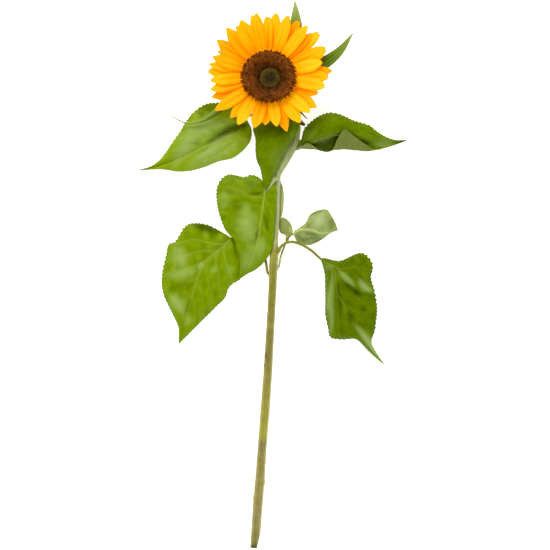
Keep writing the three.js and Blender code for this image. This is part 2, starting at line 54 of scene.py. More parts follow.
# The head is laid out from its eye. planShift is how far the plan below lies from the frame.
head = {
    "centre": (-4.5, 219.0),
    "eye": (1.6, -2.7),  # from the middle of the head
    "eyeRadius": 12.0,
    "discRadius": 29.8,
    "discFloor": 44.3,
    "rimRadius": 25.5,
    "rimTop": 44.0,
}
headX, headY = head["centre"]
eyeX, eyeY = headX + head["eye"][0], headY + head["eye"][1]
eyeLow, eyeHigh = (np.array(corner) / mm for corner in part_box("disc_eye"))
planShift = np.array([(eyeLow[0] + eyeHigh[0]) / 2 - eyeX, (eyeLow[1] + eyeHigh[1]) / 2 - eyeY,
                      eyeLow[2] - head["discFloor"]])


def smoothLine(points):
    # a rounded line through the points, with the same corner rounding as the frame's solids
    points = np.array(points, float)
    ends = np.vstack([2 * points[0] - points[1], points, 2 * points[-1] - points[-2]])
    step = np.linspace(0, 1, pointsPerSpan, endpoint=False)[:, None]
    line = []
    for a, b, c, d in zip(ends[:-3], ends[1:-2], ends[2:-1], ends[3:]):
        before, span, after = (max(np.linalg.norm(q - p), 1e-6) ** 0.5 for p, q in ((a, b), (b, c), (c, d)))
        leaving = span * ((b - a) / before - (c - a) / (before + span) + (c - b) / span)
        arriving = span * ((c - b) / span - (d - b) / (span + after) + (d - c) / after)
        line.append(b + leaving * step + (3 * (c - b) - 2 * leaving - arriving) * step ** 2
                    + (leaving + arriving - 2 * (c - b)) * step ** 3)
    return np.vstack([*line, points[-1:]])


def travelAlong(line):
    return np.concatenate([[0], np.cumsum(np.linalg.norm(np.diff(line[:, :3], axis=0), axis=1))])


def evenly(line, count):
    travel = travelAlong(line)
    places = np.linspace(0, travel[-1], count)
    return np.stack([np.interp(places, travel, column) for column in line.T], axis=1)


def unit(vectors):
    return vectors / np.maximum(np.linalg.norm(vectors, axis=-1, keepdims=True), 1e-9)


def distanceTo(points, line):
    nearest = np.full(points.shape[:-1], np.inf)
    for a, b in zip(line[:-1], line[1:]):
        side = b - a
        place = np.clip(((points - a) @ side) / max(side @ side, 1e-9), 0, 1)
        nearest = np.minimum(nearest, np.linalg.norm(points - a - place[..., None] * side, axis=-1))
    return nearest


def ripple(x, y, wavelength, seed):
    # smooth wandering waviness between about -1 and 1: seven plane waves that run their own ways
    own = np.random.default_rng(seed)
    total = np.zeros(np.shape(x))
    for _ in range(7):
        angle, phase = own.uniform(0, 2 * math.pi), own.uniform(0, 2 * math.pi)
        stretch = own.uniform(0.6, 1.5)
        run = x * math.cos(angle) + y * math.sin(angle)
        total += np.sin(run * 2 * math.pi / (wavelength * stretch) + phase)
    return total / 3.2


def gridOfShares(rows, columns, left=-1):
    # shares of the way along (0 to 1) and across (left to 1), for each point of a sheet
    along, across = np.meshgrid(np.linspace(0, 1, rows + 1), np.linspace(left, 1, columns + 1), indexing="ij")
    return along, across


def normalsOf(grid):
    across = np.gradient(grid, axis=1)
    along = np.gradient(grid, axis=0)
    return unit(np.cross(across, along))


def wallFaces(index, closed=True):
    # four-cornered faces between neighbouring rows of a grid of point numbers, closed round or open
    following = np.roll(index, -1, axis=1)
    corners = np.stack([index[:-1], following[:-1], following[1:], index[1:]], axis=-1)
    return (corners if closed else corners[:, :-1]).reshape(-1, 4)


def sheetPart(top, bottom, marks):
    # a closed thin sheet from two grids of points that lie face to face
    rows, columns = top.shape[:2]
    index = np.arange(rows * columns).reshape(rows, columns)
    upper = wallFaces(index, closed=False)
    lower = wallFaces(index, closed=False)[:, [0, 3, 2, 1]] + rows * columns
    ring = np.concatenate([index[0, :-1], index[:-1, -1], index[-1, :0:-1], index[:0:-1, 0]])
    nextOn = np.roll(ring, -1)
    rim = np.stack([nextOn, ring, ring + rows * columns, nextOn + rows * columns], axis=1)
    doubled = {name: np.tile(values.ravel(), 2) for name, values in marks.items()}
    doubled["underside"] = np.repeat([0.0, 1.0], rows * columns)
    return {
        "points": np.concatenate([top.reshape(-1, 3), bottom.reshape(-1, 3)]),
        "faces": [upper, lower, rim],
        "marks": doubled,
    }


def thickened(grid, thickness, marks):
    # the sheet that lies half above and half below a grid of points
    half = normalsOf(grid) * thickness[..., None] / 2
    return sheetPart(grid + half, grid - half, marks)


def tubePart(path, sides, ribs=0, ribHeight=0.0, steps=60, roundEnds=True):
    # a closed round stalk along points of x, y, z, radius, with ribs that run along it
    line = evenly(smoothLine(path), steps)
    centres, radii = line[:, :3], line[:, 3].copy()
    ahead = unit(np.gradient(centres, axis=0))
    sideways = unit(np.cross(ahead, [0, 0, 1.0]))
    for row in range(1, steps):
        carried = sideways[row - 1] - ahead[row] * (sideways[row - 1] @ ahead[row])
        sideways[row] = carried / np.linalg.norm(carried)
    upwards = np.cross(sideways, ahead)
    if roundEnds:
        travel = travelAlong(centres)
        fromEnd = np.minimum(travel, travel[-1] - travel)
        radii *= np.sqrt(np.clip(0.12 + fromEnd / (0.9 * radii), 0.05, 1))
    angle = np.linspace(0, 2 * math.pi, sides, endpoint=False)
    reach = (1 + ribHeight * np.cos(ribs * angle))[None, :] * radii[:, None]
    around = (np.cos(angle)[None, :, None] * sideways[:, None, :]
              + np.sin(angle)[None, :, None] * upwards[:, None, :])
    grid = centres[:, None, :] + around * reach[..., None]
    index = np.arange(steps * sides).reshape(steps, sides)
    return {
        "points": grid.reshape(-1, 3),
        "faces": [wallFaces(index), [tuple(index[0][::-1].tolist()), tuple(index[-1].tolist())]],
        "marks": {"along": np.repeat(np.linspace(0, 1, steps), sides),
                  "rib": np.tile(0.5 - 0.5 * np.cos(ribs * angle), steps)},
        "centres": np.repeat(grid.mean(axis=1), sides, axis=0),
    }


def makePiece(name, parts, materials, node):
    # one Blender object from its parts, which stands for one node of the frame
    points = np.concatenate([part["points"] for part in parts]) + planShift
    points[:, 2] = np.maximum(points[:, 2], tableClearance)
    faces, kinds = [], []
    offset = 0
    for part in parts:
        for group in part["faces"]:
            faces += [tuple(int(corner) + offset for corner in face) for face in group]
            kinds += [part.get("material", 0)] * len(group)
        offset += len(part["points"])
    mesh = bpy.data.meshes.new(name)
    mesh.from_pydata((points * mm).tolist(), [], faces)
    mesh.polygons.foreach_set("material_index", kinds)
    mesh.validate()
    for mark in sorted({mark for part in parts for mark in part["marks"]}):
        values = np.concatenate([
            np.broadcast_to(part["marks"].get(mark, 0.0), len(part["points"])) for part in parts])
        mesh.attributes.new(mark, "FLOAT", "POINT").data.foreach_set("value", values.astype(np.float32))
    for material in materials:
        mesh.materials.append(material)
    mesh.shade_smooth()
    piece = bpy.data.objects.new(name, mesh)
    bpy.context.scene.collection.objects.link(piece)
    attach(piece, "root")
    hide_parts(node)
    return piece


def colour(hexCode):
    # sRGB hex to the linear colour that Blender's sockets take
    parts = [int(hexCode[place:place + 2], 16) / 255 for place in (1, 3, 5)]
    return (*(part / 12.92 if part <= 0.04045 else ((part + 0.055) / 1.055) ** 2.4 for part in parts), 1.0)


def addNode(tree, kind, links=None, stops=None, output=0, **settings):
    # one node, its settings, and what goes into its sockets: a value or another node's output
    node = tree.nodes.new("ShaderNode" + kind)
    for setting, value in settings.items():
        setattr(node, setting, value)
    if stops:
        elements = node.color_ramp.elements
        while len(elements) < len(stops):
            elements.new(0.5)
        for element, (position, hexCode) in zip(elements, stops):
            element.position = position
            element.color = colour(hexCode)
    for socket, source in (links or {}).items():
        if isinstance(source, bpy.types.NodeSocket):
            tree.links.new(source, node.inputs[socket])
        else:
            node.inputs[socket].default_value = source
    return node.outputs[output] if node.outputs else None


def newMaterial(name):
    material = bpy.data.materials.new(name)
    material.use_nodes = True
    material.node_tree.nodes.clear()
    return material, material.node_tree


# Stem: a green ribbed stalk with a bristly cuticle. It aged from the neck down, so the eye gets grey-green
# under the leaves, olive above, and dull brown below the old leaf scar.
def stemMaterial(name, look):
    material, tree = newMaterial(name)
    place = addNode(tree, "TexCoord", output="Object")
    up, rib, scar, flank = (addNode(tree, "Attribute", output="Fac", attribute_name=mark)
                            for mark in ("up", "rib", "scar", "flank"))
    stretched = addNode(tree, "Mapping", {"Vector": place, "Scale": (1.0, 0.06, 1.0)})
    fibre = addNode(tree, "TexNoise", {"Vector": stretched, "Scale": 1 / (look["fibreMm"] * mm),
                                       "Detail": 4.0})
    mottle = addNode(tree, "TexNoise", {"Vector": place, "Scale": 1 / (look["mottleMm"] * mm), "Detail": 4.0})
    grain = addNode(tree, "TexNoise", {"Vector": place, "Scale": 1 / (look["hairMm"] * mm), "Detail": 3.0})
    skinColour = addNode(tree, "ValToRGB", {"Fac": up}, stops=look["alongStem"])
    shade = addNode(tree, "MapRange", {"Value": mottle, "From Min": 0.3, "From Max": 0.7,
                                       "To Min": 1 - look["mottle"], "To Max": 1 + look["mottle"]})
    whole = addNode(tree, "Mix", {0: 1.0, 6: skinColour, 7: shade}, output=2, data_type="RGBA",
                    blend_type="MULTIPLY")
    fibreShare = addNode(tree, "MapRange", {"Value": fibre, "From Min": 0.5, "From Max": 0.75,
                                            "To Min": 0.0, "To Max": look["fibreShow"]})
    ribShare = addNode(tree, "Math", {0: rib, 1: look["furrowShow"]}, operation="MULTIPLY")
    # painted reflection: the sides of the skin are painted paler, as if the white surround shone on them
    paintedSideLightShare = addNode(tree, "Math", {0: flank, 1: look["paintedSideLightShow"]}, operation="MULTIPLY")
    for share, layer in ((fibreShare, "fibre"), (ribShare, "furrow"), (paintedSideLightShare, "flank"), (scar, "scar")):
        whole = addNode(tree, "Mix", {0: share, 6: whole, 7: colour(look[layer])}, output=2, data_type="RGBA")
    fibreBump = addNode(tree, "Bump", {"Height": fibre, "Strength": 0.4, "Distance": 0.25 * mm})
    hairBump = addNode(tree, "Bump", {"Height": grain, "Strength": 0.25, "Distance": 0.15 * mm,
                                      "Normal": fibreBump})
    skin = addNode(tree, "BsdfPrincipled", {
        "Base Color": whole, "Roughness": look["roughness"], "Normal": hairBump, "IOR": 1.42,
        "Specular IOR Level": look["shine"], "Sheen Weight": look["sheen"], "Sheen Roughness": 0.35,
        "Sheen Tint": colour(look["sheenTint"])})
    addNode(tree, "OutputMaterial", {"Surface": skin})
    return material


stemSkin = stemMaterial("stemSkinBristly", {
    # share of the way from the cut end (0) to the head (1)
    "alongStem": [
        (0.0, "#4a5a20"), (0.015, "#7e7a40"), (0.05, "#948a54"), (0.12, "#92864a"), (0.19, "#8e8448"),
        (0.222, "#80744a"), (0.235, "#9c9a3c"), (0.3, "#989038"), (0.4, "#827a38"), (0.458, "#7c7832"),
        (0.472, "#8e8a44"), (0.486, "#7e7a32"), (0.54, "#827e2e"), (0.6, "#8a8a34"), (0.618, "#a29e40"),
        # from 0.64 to 0.8 the grey-green is set paler, painted light that makes up for the middle leaf's
        # shadow
        (0.63, "#8c8a34"), (0.642, "#aab068"), (0.7, "#b0b884"), (0.78, "#a8b47c"), (0.84, "#98a56c"),
        (0.88, "#86945a"), (0.95, "#7b8a50"), (1.0, "#7a8a4c")],
    "fibreMm": 1.3, "fibre": "#c0bc80", "fibreShow": 0.25,  # drawn coarser than real fibres, so they show
    "mottleMm": 6.0, "mottle": 0.16, "hairMm": 0.6,
    # the pale side colour below is a painted reflection
    "flank": "#cac88e", "paintedSideLightShow": 0.75, "furrow": "#66602a", "furrowShow": 0.24, "scar": "#3c3418",
    "roughness": 0.5, "shine": 0.3, "sheen": 0.3, "sheenTint": "#dcd89a",
})

# Stem pith: a spongy white core, open cells that take the light without a shine.
stemPith, pithTree = newMaterial("stemPithSpongy")
pithPlace = addNode(pithTree, "TexCoord", output="Object")
pithCells = addNode(pithTree, "TexVoronoi", {"Vector": pithPlace, "Scale": 1 / (0.9 * mm)})
pithColour = addNode(pithTree, "ValToRGB", {"Fac": pithCells},
                     stops=[(0.0, "#d9dab0"), (0.5, "#c3c68f"), (1.0, "#93985a")])
pithBump = addNode(pithTree, "Bump", {"Height": pithCells, "Strength": 0.5, "Distance": 0.3 * mm})
pithSkin = addNode(pithTree, "BsdfPrincipled", {
    "Base Color": pithColour, "Roughness": 0.85, "Normal": pithBump, "IOR": 1.35})
addNode(pithTree, "OutputMaterial", {"Surface": pithSkin})

stem = {
    "path": [  # from the cut end to the head: x, y, z, radius
        [-20, -301, 5.1, 5], [-16.1, -248, 5.6, 5.4], [-14.5, -229, 5.7, 5.3], [-11.1, -182, 6.5, 4.9],
        [-8.5, -149, 7, 5.1], [-6.1, -116, 7.7, 4.9], [-2.3, -50, 9.1, 4.5], [-0.2, -10, 10.2, 4.5],
        [0.4, 8, 10.5, 4.7], [1.7, 27, 11, 4.6], [2, 36, 11.1, 3.9], [3.2, 66, 11.2, 3.9], [3.7, 98, 10.8, 4],
        [4.8, 110, 10.3, 4.3], [11, 121.2, 9.4, 4.6], [19.9, 137.6, 8.1, 5], [24.2, 148.2, 7.2, 5],
        [24.9, 155, 6.6, 5], [25.6, 162, 6, 5.1], [23.4, 175, 5.8, 5.3], [16, 191, 7.6, 5.6],
        [5.6, 206.5, 11.4, 5.8], [-1.7, 215.6, 15.2, 6], [-4.4, 218.8, 19.4, 6], [-4.5, 219, 23.4, 6],
    ],
    "ribs": 9, "ribHeight": 0.028,
    "sides": 44, "steps": 440,
    "length": 520, "foot": -301,  # along Y, for the colours that run up the stem
    "cutPoint": (-17.5, -301), "cutDirection": (0.24, 1),
    # x, y, swelling, reach
    "knots": [[-9, -229, 0.8, 2.6], [-19, -245, 0.6, 3], [6, 27, 0.7, 3], [-9, -180, 0.3, 4]],
    # x, y, reach
    "scars": [[-9, -89, 2.8], [-9.4, -100, 1.6], [-22, -300, 2.6], [6, 26, 1.6]],
    "scarShow": 0.8,
    "ripple": 0.12, "rippleMm": 5,
    "paintedSideLightBelow": 110, "paintedSideLightReach": 60,  # the skin is painted paler down its sides, a painted reflection of the white surround, except at the neck
}
shoot = {
    "path": [[6.7, 9.4, 9.9, 1.2], [7.2, 11.5, 9.9, 1.3], [8, 16, 10.1, 1.3], [9.6, 22.4, 10.5, 1.3],
             [12.1, 29.4, 10.8, 1.3], [14.7, 36.4, 10.9, 1.2], [16.2, 41.5, 10.9, 1.2]],
    "sheath": 9,
    "sides": 20, "ribs": 5, "ribHeight": 0.04, "steps": 90,
    "up": 0.7, "upChange": -0.09, "flank": 0.2,  # where on the stem its colours are found, and how much painted reflection pales its skin
}


def rootedIn(axis, path, sheath):
    # the stalk runs out of the middle of what it grew from, a sheath's length lower down
    start = np.array(path[0])
    nearest = int(np.argmin(np.linalg.norm(axis[:, :3] - start[:3], axis=1)))
    travel = travelAlong(axis)
    root = axis[int(np.searchsorted(travel, max(travel[nearest] - sheath, 0)))]
    depth = 0.6
    inside = start[:3] * (1 - depth) + root[:3] * depth
    return [[*inside, start[3] * 1.4], [*start[:3], start[3] * 1.15], *path[1:]]


stemAxis = smoothLine(stem["path"])
shootAxis = smoothLine(shoot["path"])[:-pointsPerSpan]


def layStem():
    tube = tubePart(stem["path"], stem["sides"], stem["ribs"], stem["ribHeight"], stem["steps"],
                    roundEnds=False)
    points, centres = tube["points"], tube["centres"]
    outwards = unit(points - centres)
    for x, y, swelling, reach in stem["knots"]:
        near = np.exp(-((points[:, 1] - y) / reach) ** 2)
        facing = 0.5 + 0.5 * (outwards[:, 0] * np.sign(x - centres[:, 0]))
        points += outwards * (swelling * near * facing)[:, None]
    unevenness = ripple(points[:, 0], points[:, 1] * 0.4, stem["rippleMm"], 61)
    points += outwards * (stem["ripple"] * unevenness)[:, None]
    scar = np.zeros(len(points))
    for x, y, reach in stem["scars"]:
        away = np.hypot(points[:, 0] - x, points[:, 1] - y)
        scar = np.maximum(scar, stem["scarShow"] * np.exp(-(away / reach) ** 2))
    tube["marks"].update({
        "up": ((points[:, 1] - stem["foot"]) / stem["length"]).clip(0, 1),
        "scar": scar,
        # painted reflection: paler where the skin turns sideways, below the neck
        "flank": ((1 - outwards[:, 2].clip(0)) ** 1.3
                  * ((stem["paintedSideLightBelow"] - points[:, 1]) / stem["paintedSideLightReach"]).clip(0, 1)),
    })
    piece = makePiece("flowerStem", [tube], [stemSkin, stemPith], "stem")
    ahead = np.array([*stem["cutDirection"], 0.0])
    side = unit(np.array([ahead[1], -ahead[0], 0.0]))
    cut = np.array([*stem["cutPoint"], 0.0]) + planShift
    work = bmesh.new()
    work.from_mesh(piece.data)
    bmesh.ops.bisect_plane(work, geom=[*work.verts, *work.edges, *work.faces], plane_co=(cut * mm).tolist(),
                           plane_no=side.tolist(), clear_outer=True)
    rim = [edge for edge in work.edges if edge.is_boundary]
    for face in bmesh.ops.holes_fill(work, edges=rim)["faces"]:
        face.material_index = 1
        face.smooth = False
    work.to_mesh(piece.data)
    work.free()

    twig = tubePart(rootedIn(stemAxis, shoot["path"], shoot["sheath"]), shoot["sides"], shoot["ribs"],
                    shoot["ribHeight"], shoot["steps"])
    twig["marks"].update({"up": shoot["up"] + shoot["upChange"] * twig["marks"]["along"], "scar": 0.0,
                          "flank": shoot["flank"]})
    makePiece("sideShoot", [twig], [stemSkin], "side_shoot")
    print("stem laid")


layStem()


# Sunflower leaf blade: a waxy cuticle over green tissue, set with short stiff hairs. It grew in one sheet, so
# the eye gets mottled green with pale veins and puffed cells between them. Its broad milky gloss is a painted
# highlight, and its tone carries painted highlights and painted shade.
def leafMaterial(name, look):
    material, tree = newMaterial(name)
    place = addNode(tree, "TexCoord", output="Object")
    tone, vein, margin, bloom, underside = (
        addNode(tree, "Attribute", output="Fac", attribute_name=mark)
        for mark in ("tone", "vein", "margin", "bloom", "underside"))
    mottle = addNode(tree, "TexNoise", {"Vector": place, "Scale": 1 / (look["mottleMm"] * mm),
                                        "Detail": 5.0, "Roughness": 0.6})
    grain = addNode(tree, "TexNoise", {"Vector": place, "Scale": 1 / (look["hairMm"] * mm), "Detail": 3.0})
    shifted = addNode(tree, "Math", {0: mottle, 1: 0.5}, operation="SUBTRACT")
    scaled = addNode(tree, "Math", {0: shifted, 1: look["mottle"]}, operation="MULTIPLY")
    toned = addNode(tree, "Math", {0: tone, 1: scaled}, operation="ADD")
    ramp = addNode(tree, "MapRange", {"Value": toned, "From Min": -1.0, "From Max": 1.2})
    face = addNode(tree, "ValToRGB", {"Fac": ramp}, stops=look["greens"])
    cells = addNode(tree, "TexVoronoi", {"Vector": place, "Scale": 1 / (look["cellMm"] * mm)},
                    feature="DISTANCE_TO_EDGE")
    net = addNode(tree, "MapRange", {"Value": cells, "From Min": 0.0, "From Max": 0.16,
                                     "To Min": 1.0, "To Max": 0.0})
    netShare = addNode(tree, "Math", {0: net, 1: look["netShow"]}, operation="MULTIPLY")
    # the pale painted gloss: a milky colour laid where the blade would catch the light, a painted highlight
    paintedGlossShare = addNode(tree, "Math", {0: bloom, 1: look["paintedGlossShow"]}, operation="MULTIPLY")
    for share, layer in ((netShare, "net"), (paintedGlossShare, "bloom"), (vein, "vein"), (margin, "edge")):
        face = addNode(tree, "Mix", {0: share, 6: face, 7: colour(look[layer])}, output=2, data_type="RGBA")
    back = colour(look["backDark"])
    for share, layer in ((mottle, "back"), (netShare, "backVein"), (vein, "backVein")):
        back = addNode(tree, "Mix", {0: share, 6: back, 7: colour(look[layer])}, output=2, data_type="RGBA")
    whole = addNode(tree, "Mix", {0: underside, 6: face, 7: back}, output=2, data_type="RGBA")
    roughness = addNode(tree, "MapRange", {"Value": mottle, "To Min": look["roughness"] - 0.07,
                                           "To Max": look["roughness"] + 0.07})
    puffBump = addNode(tree, "Bump", {"Height": cells, "Strength": look["cellBump"], "Distance": 0.5 * mm})
    hairBump = addNode(tree, "Bump", {"Height": grain, "Strength": 0.25, "Distance": 0.15 * mm,
                                      "Normal": puffBump})
    skin = addNode(tree, "BsdfPrincipled", {
        "Base Color": whole, "Roughness": roughness, "Normal": hairBump, "IOR": 1.42,
        "Subsurface Weight": 0.06, "Subsurface Radius": (0.3, 1.0, 0.1), "Subsurface Scale": 0.6 * mm,
        "Specular IOR Level": look["shine"], "Sheen Weight": look["sheen"], "Sheen Roughness": 0.4,
        "Sheen Tint": colour("#dfe8c8")})
    addNode(tree, "OutputMaterial", {"Surface": skin})
    return material


# The finest real veins close round cells about 1 mm across; they are drawn twice as coarse, so they show.
leafBlade = leafMaterial("leafBladeWaxy", {
    "greens": [(0.0, "#2a3700"), (0.14, "#3f5200"), (0.3, "#536a00"), (0.47, "#6a8503"), (0.64, "#829d12"),
               (1.0, "#a4b568")],
    "mottleMm": 9.0, "mottle": 0.55, "hairMm": 0.5,
    "cellMm": 2.2, "cellBump": 0.35, "netShow": 0.2, "net": "#8a9f28",
    "vein": "#a5b545", "edge": "#6a7c16", "bloom": "#a4b676", "paintedGlossShow": 0.6,
    "backDark": "#606b2a", "back": "#78843c", "backVein": "#9ca55c",
    "roughness": 0.5, "shine": 0.15, "sheen": 0.02,
})
youngLeafBlade = leafMaterial("leafBladeDowny", {
    "greens": [(0.0, "#5f6c2e"), (0.3, "#758440"), (0.47, "#869650"), (0.64, "#9aaa66"), (1.0, "#b8c68e")],
    "mottleMm": 7.0, "mottle": 0.8, "hairMm": 0.5,
    "cellMm": 1.8, "cellBump": 0.3, "netShow": 0.2, "net": "#b4c07c",
    "vein": "#cdd986", "edge": "#7c8a52", "bloom": "#bcc996", "paintedGlossShow": 0.5,
    "backDark": "#848f58", "back": "#9aa46e", "backVein": "#bcc58c",
    "roughness": 0.55, "shine": 0.3, "sheen": 0.1,
})


# What all leaves share; a leaf's own dictionary may state another value.
leafGrowth = {
    "blade": leafBlade, "slot": "leaf_green",
    "rows": 170, "perStrip": 34,
    "thick": 0.5,
    "edgeGap": 0.2,  # how much of the base's spread of the rails is left at the tip
    # start and end of each pair of side veins, as shares of the leaf's length, and its strength
    "veins": [(0.02, 0.4, 1.0), (0.13, 0.54, 0.7), (0.27, 0.67, 0.5), (0.42, 0.79, 0.35), (0.57, 0.88, 0.25),
              (0.72, 0.95, 0.2)],
    "veinWidth": 0.75, "ribWidth": 1.0,
    "ribHeight": 0.9, "veinHeight": 0.45,  # of the ridges under the blade
    "cellReach": 3.4,  # how far from a vein the blade is fully puffed up
    "dimpleMm": 12, "waveMm": 26,
    "toothPull": 8,  # columns that the teeth pull along with them
    "toothRise": 0.72,  # share of a tooth's length on its long side
    "toothless": (8, 6), "toothFade": 14,  # at the base and at the tip, and how fast the teeth grow up
    "marginBand": 0.12, "endBand": 0.08,  # shares across and along, over which the blade thins out
    "veinSink": 0.35, "ribSink": 0.5,
    # painted light: how much paler the puffs and the fold highlights are made, and the most pale painted
    # gloss
    "puffPaintedLight": 0.15, "foldPaintedHighlight": 0.45, "mostPaintedGloss": 1.3,
    "webs": [], "sheath": 3,
    # the stalk under the blade: share of the length, radius
    "stalkRun": [(0.15, 0.8), (0.3, 0.65), (0.45, 0.5), (0.6, 0.4)],
    "stalkSides": 16, "stalkDip": 2.0, "stalkGap": 0.55,
}
web = {"rows": 30, "columns": 12, "arch": 1.2, "thick": 0.5, "vein": 0.25, "veinTurns": 22, "underside": 0.75}


def bladeGrid(leaf):
    base, tip = np.array(leaf["base"], float), np.array(leaf["tip"], float)
    rib = leaf["rails"][1]
    middle = (len(leaf["rails"]) - 1) / 2

    def leftOf(start, end):
        return unit(np.array([start[1] - end[1], end[0] - start[0], 0.0]))

    edges = []
    for place, rail in enumerate(leaf["rails"]):
        start = base + leftOf(base, rib[0]) * (middle - place)
        end = tip + leftOf(rib[-1], tip) * leaf["edgeGap"] * (middle - place)
        edges.append(evenly(smoothLine([start, *rail, end]), leaf["rows"] + 1))
    swell = np.sqrt(np.sin(np.pi * np.linspace(0, 1, leaf["rows"] + 1)).clip(0))
    columns = [edges[0]]
    for strip, camber in enumerate(leaf["camber"]):
        for step in range(1, leaf["perStrip"] + 1):
            across = step / leaf["perStrip"]
            column = edges[strip] * (1 - across) + edges[strip + 1] * across
            column[:, 2] += camber * 4 * across * (1 - across) * swell
            columns.append(column)
    return np.stack(columns, axis=1)


def cutTeeth(grid, leaf):
    # the saw edge: each tooth leans towards the tip
    length, leftDepth, rightDepth = leaf["teeth"]
    rise, (baseBare, tipBare) = leaf["toothRise"], leaf["toothless"]
    for first, inwards, depth in ((0, 1, leftDepth), (grid.shape[1] - 1, -1, rightDepth)):
        edge = grid[:, first].copy()
        outwards = unit(edge - grid[:, first + inwards * leaf["toothPull"]])
        travel = travelAlong(edge)
        phase = ((travel + 1.1 * np.sin(travel / 6.3 + first)) / length) % 1
        tooth = np.where(phase < rise, phase / rise, (1 - phase) / (1 - rise)) - 0.5
        fade = np.clip(np.minimum(travel - baseBare, travel[-1] - tipBare - travel) / leaf["toothFade"], 0, 1)
        for step in range(leaf["toothPull"]):
            share = (1 - step / leaf["toothPull"]) ** 2
            grid[:, first + inwards * step] += outwards * (depth * tooth * fade * share)[:, None]


def sampled(grid, along, across, ribColumn):
    # points of the blade at shares of its length (0 to 1) and of its half width (-1 to 1)
    rows, columns = grid.shape[0] - 1, grid.shape[1] - 1
    column = np.where(across < 0, ribColumn * (1 + across), ribColumn + across * (columns - ribColumn))
    row = np.clip(along, 0, 1) * rows
    low, left = np.minimum(row.astype(int), rows - 1), np.minimum(column.astype(int), columns - 1)
    down, right = (row - low)[:, None], (column - left)[:, None]
    return ((grid[low, left] * (1 - right) + grid[low, left + 1] * right) * (1 - down)
            + (grid[low + 1, left] * (1 - right) + grid[low + 1, left + 1] * right) * down)


def webPart(rails, tone):
    # the web of blade between a stalk and what it grew from, seen from its underside
    left, right = (evenly(smoothLine(rail), web["rows"] + 1) for rail in rails)
    share = gridOfShares(web["rows"], web["columns"], left=0)[1]
    grid = left[:, None] * (1 - share[..., None]) + right[:, None] * share[..., None]
    grid[..., 2] += web["arch"] * np.sin(math.pi * share)
    part = thickened(grid, np.full(share.shape, web["thick"]), {
        "tone": np.full(share.shape, float(tone)),
        "vein": web["vein"] * np.sin(share * web["veinTurns"]) ** 2,
    })
    part["marks"]["underside"][:] = web["underside"]  # a little of the upper side's green shows through
    return part


def foldBand(flat, line, halfWidth):
    # how much of a fold lies on each point: the fold narrows and fades towards both of its ends
    narrowest, faintest = 0.45, 0.25
    crest = evenly(smoothLine([[*point, 0.0] for point in line]), 40)[:, :2]
    distance = np.linalg.norm(flat[:, :, None, :] - crest, axis=-1)
    place = np.sin(math.pi * distance.argmin(axis=-1) / (len(crest) - 1))
    width = halfWidth * (narrowest + (1 - narrowest) * place)
    strength = faintest + (1 - faintest) * place ** 0.7
    return np.exp(-(distance.min(axis=-1) / width) ** 2) * strength


def pieceName(node):
    first, *rest = node.split("_")
    return first + "".join(word.title() for word in rest)


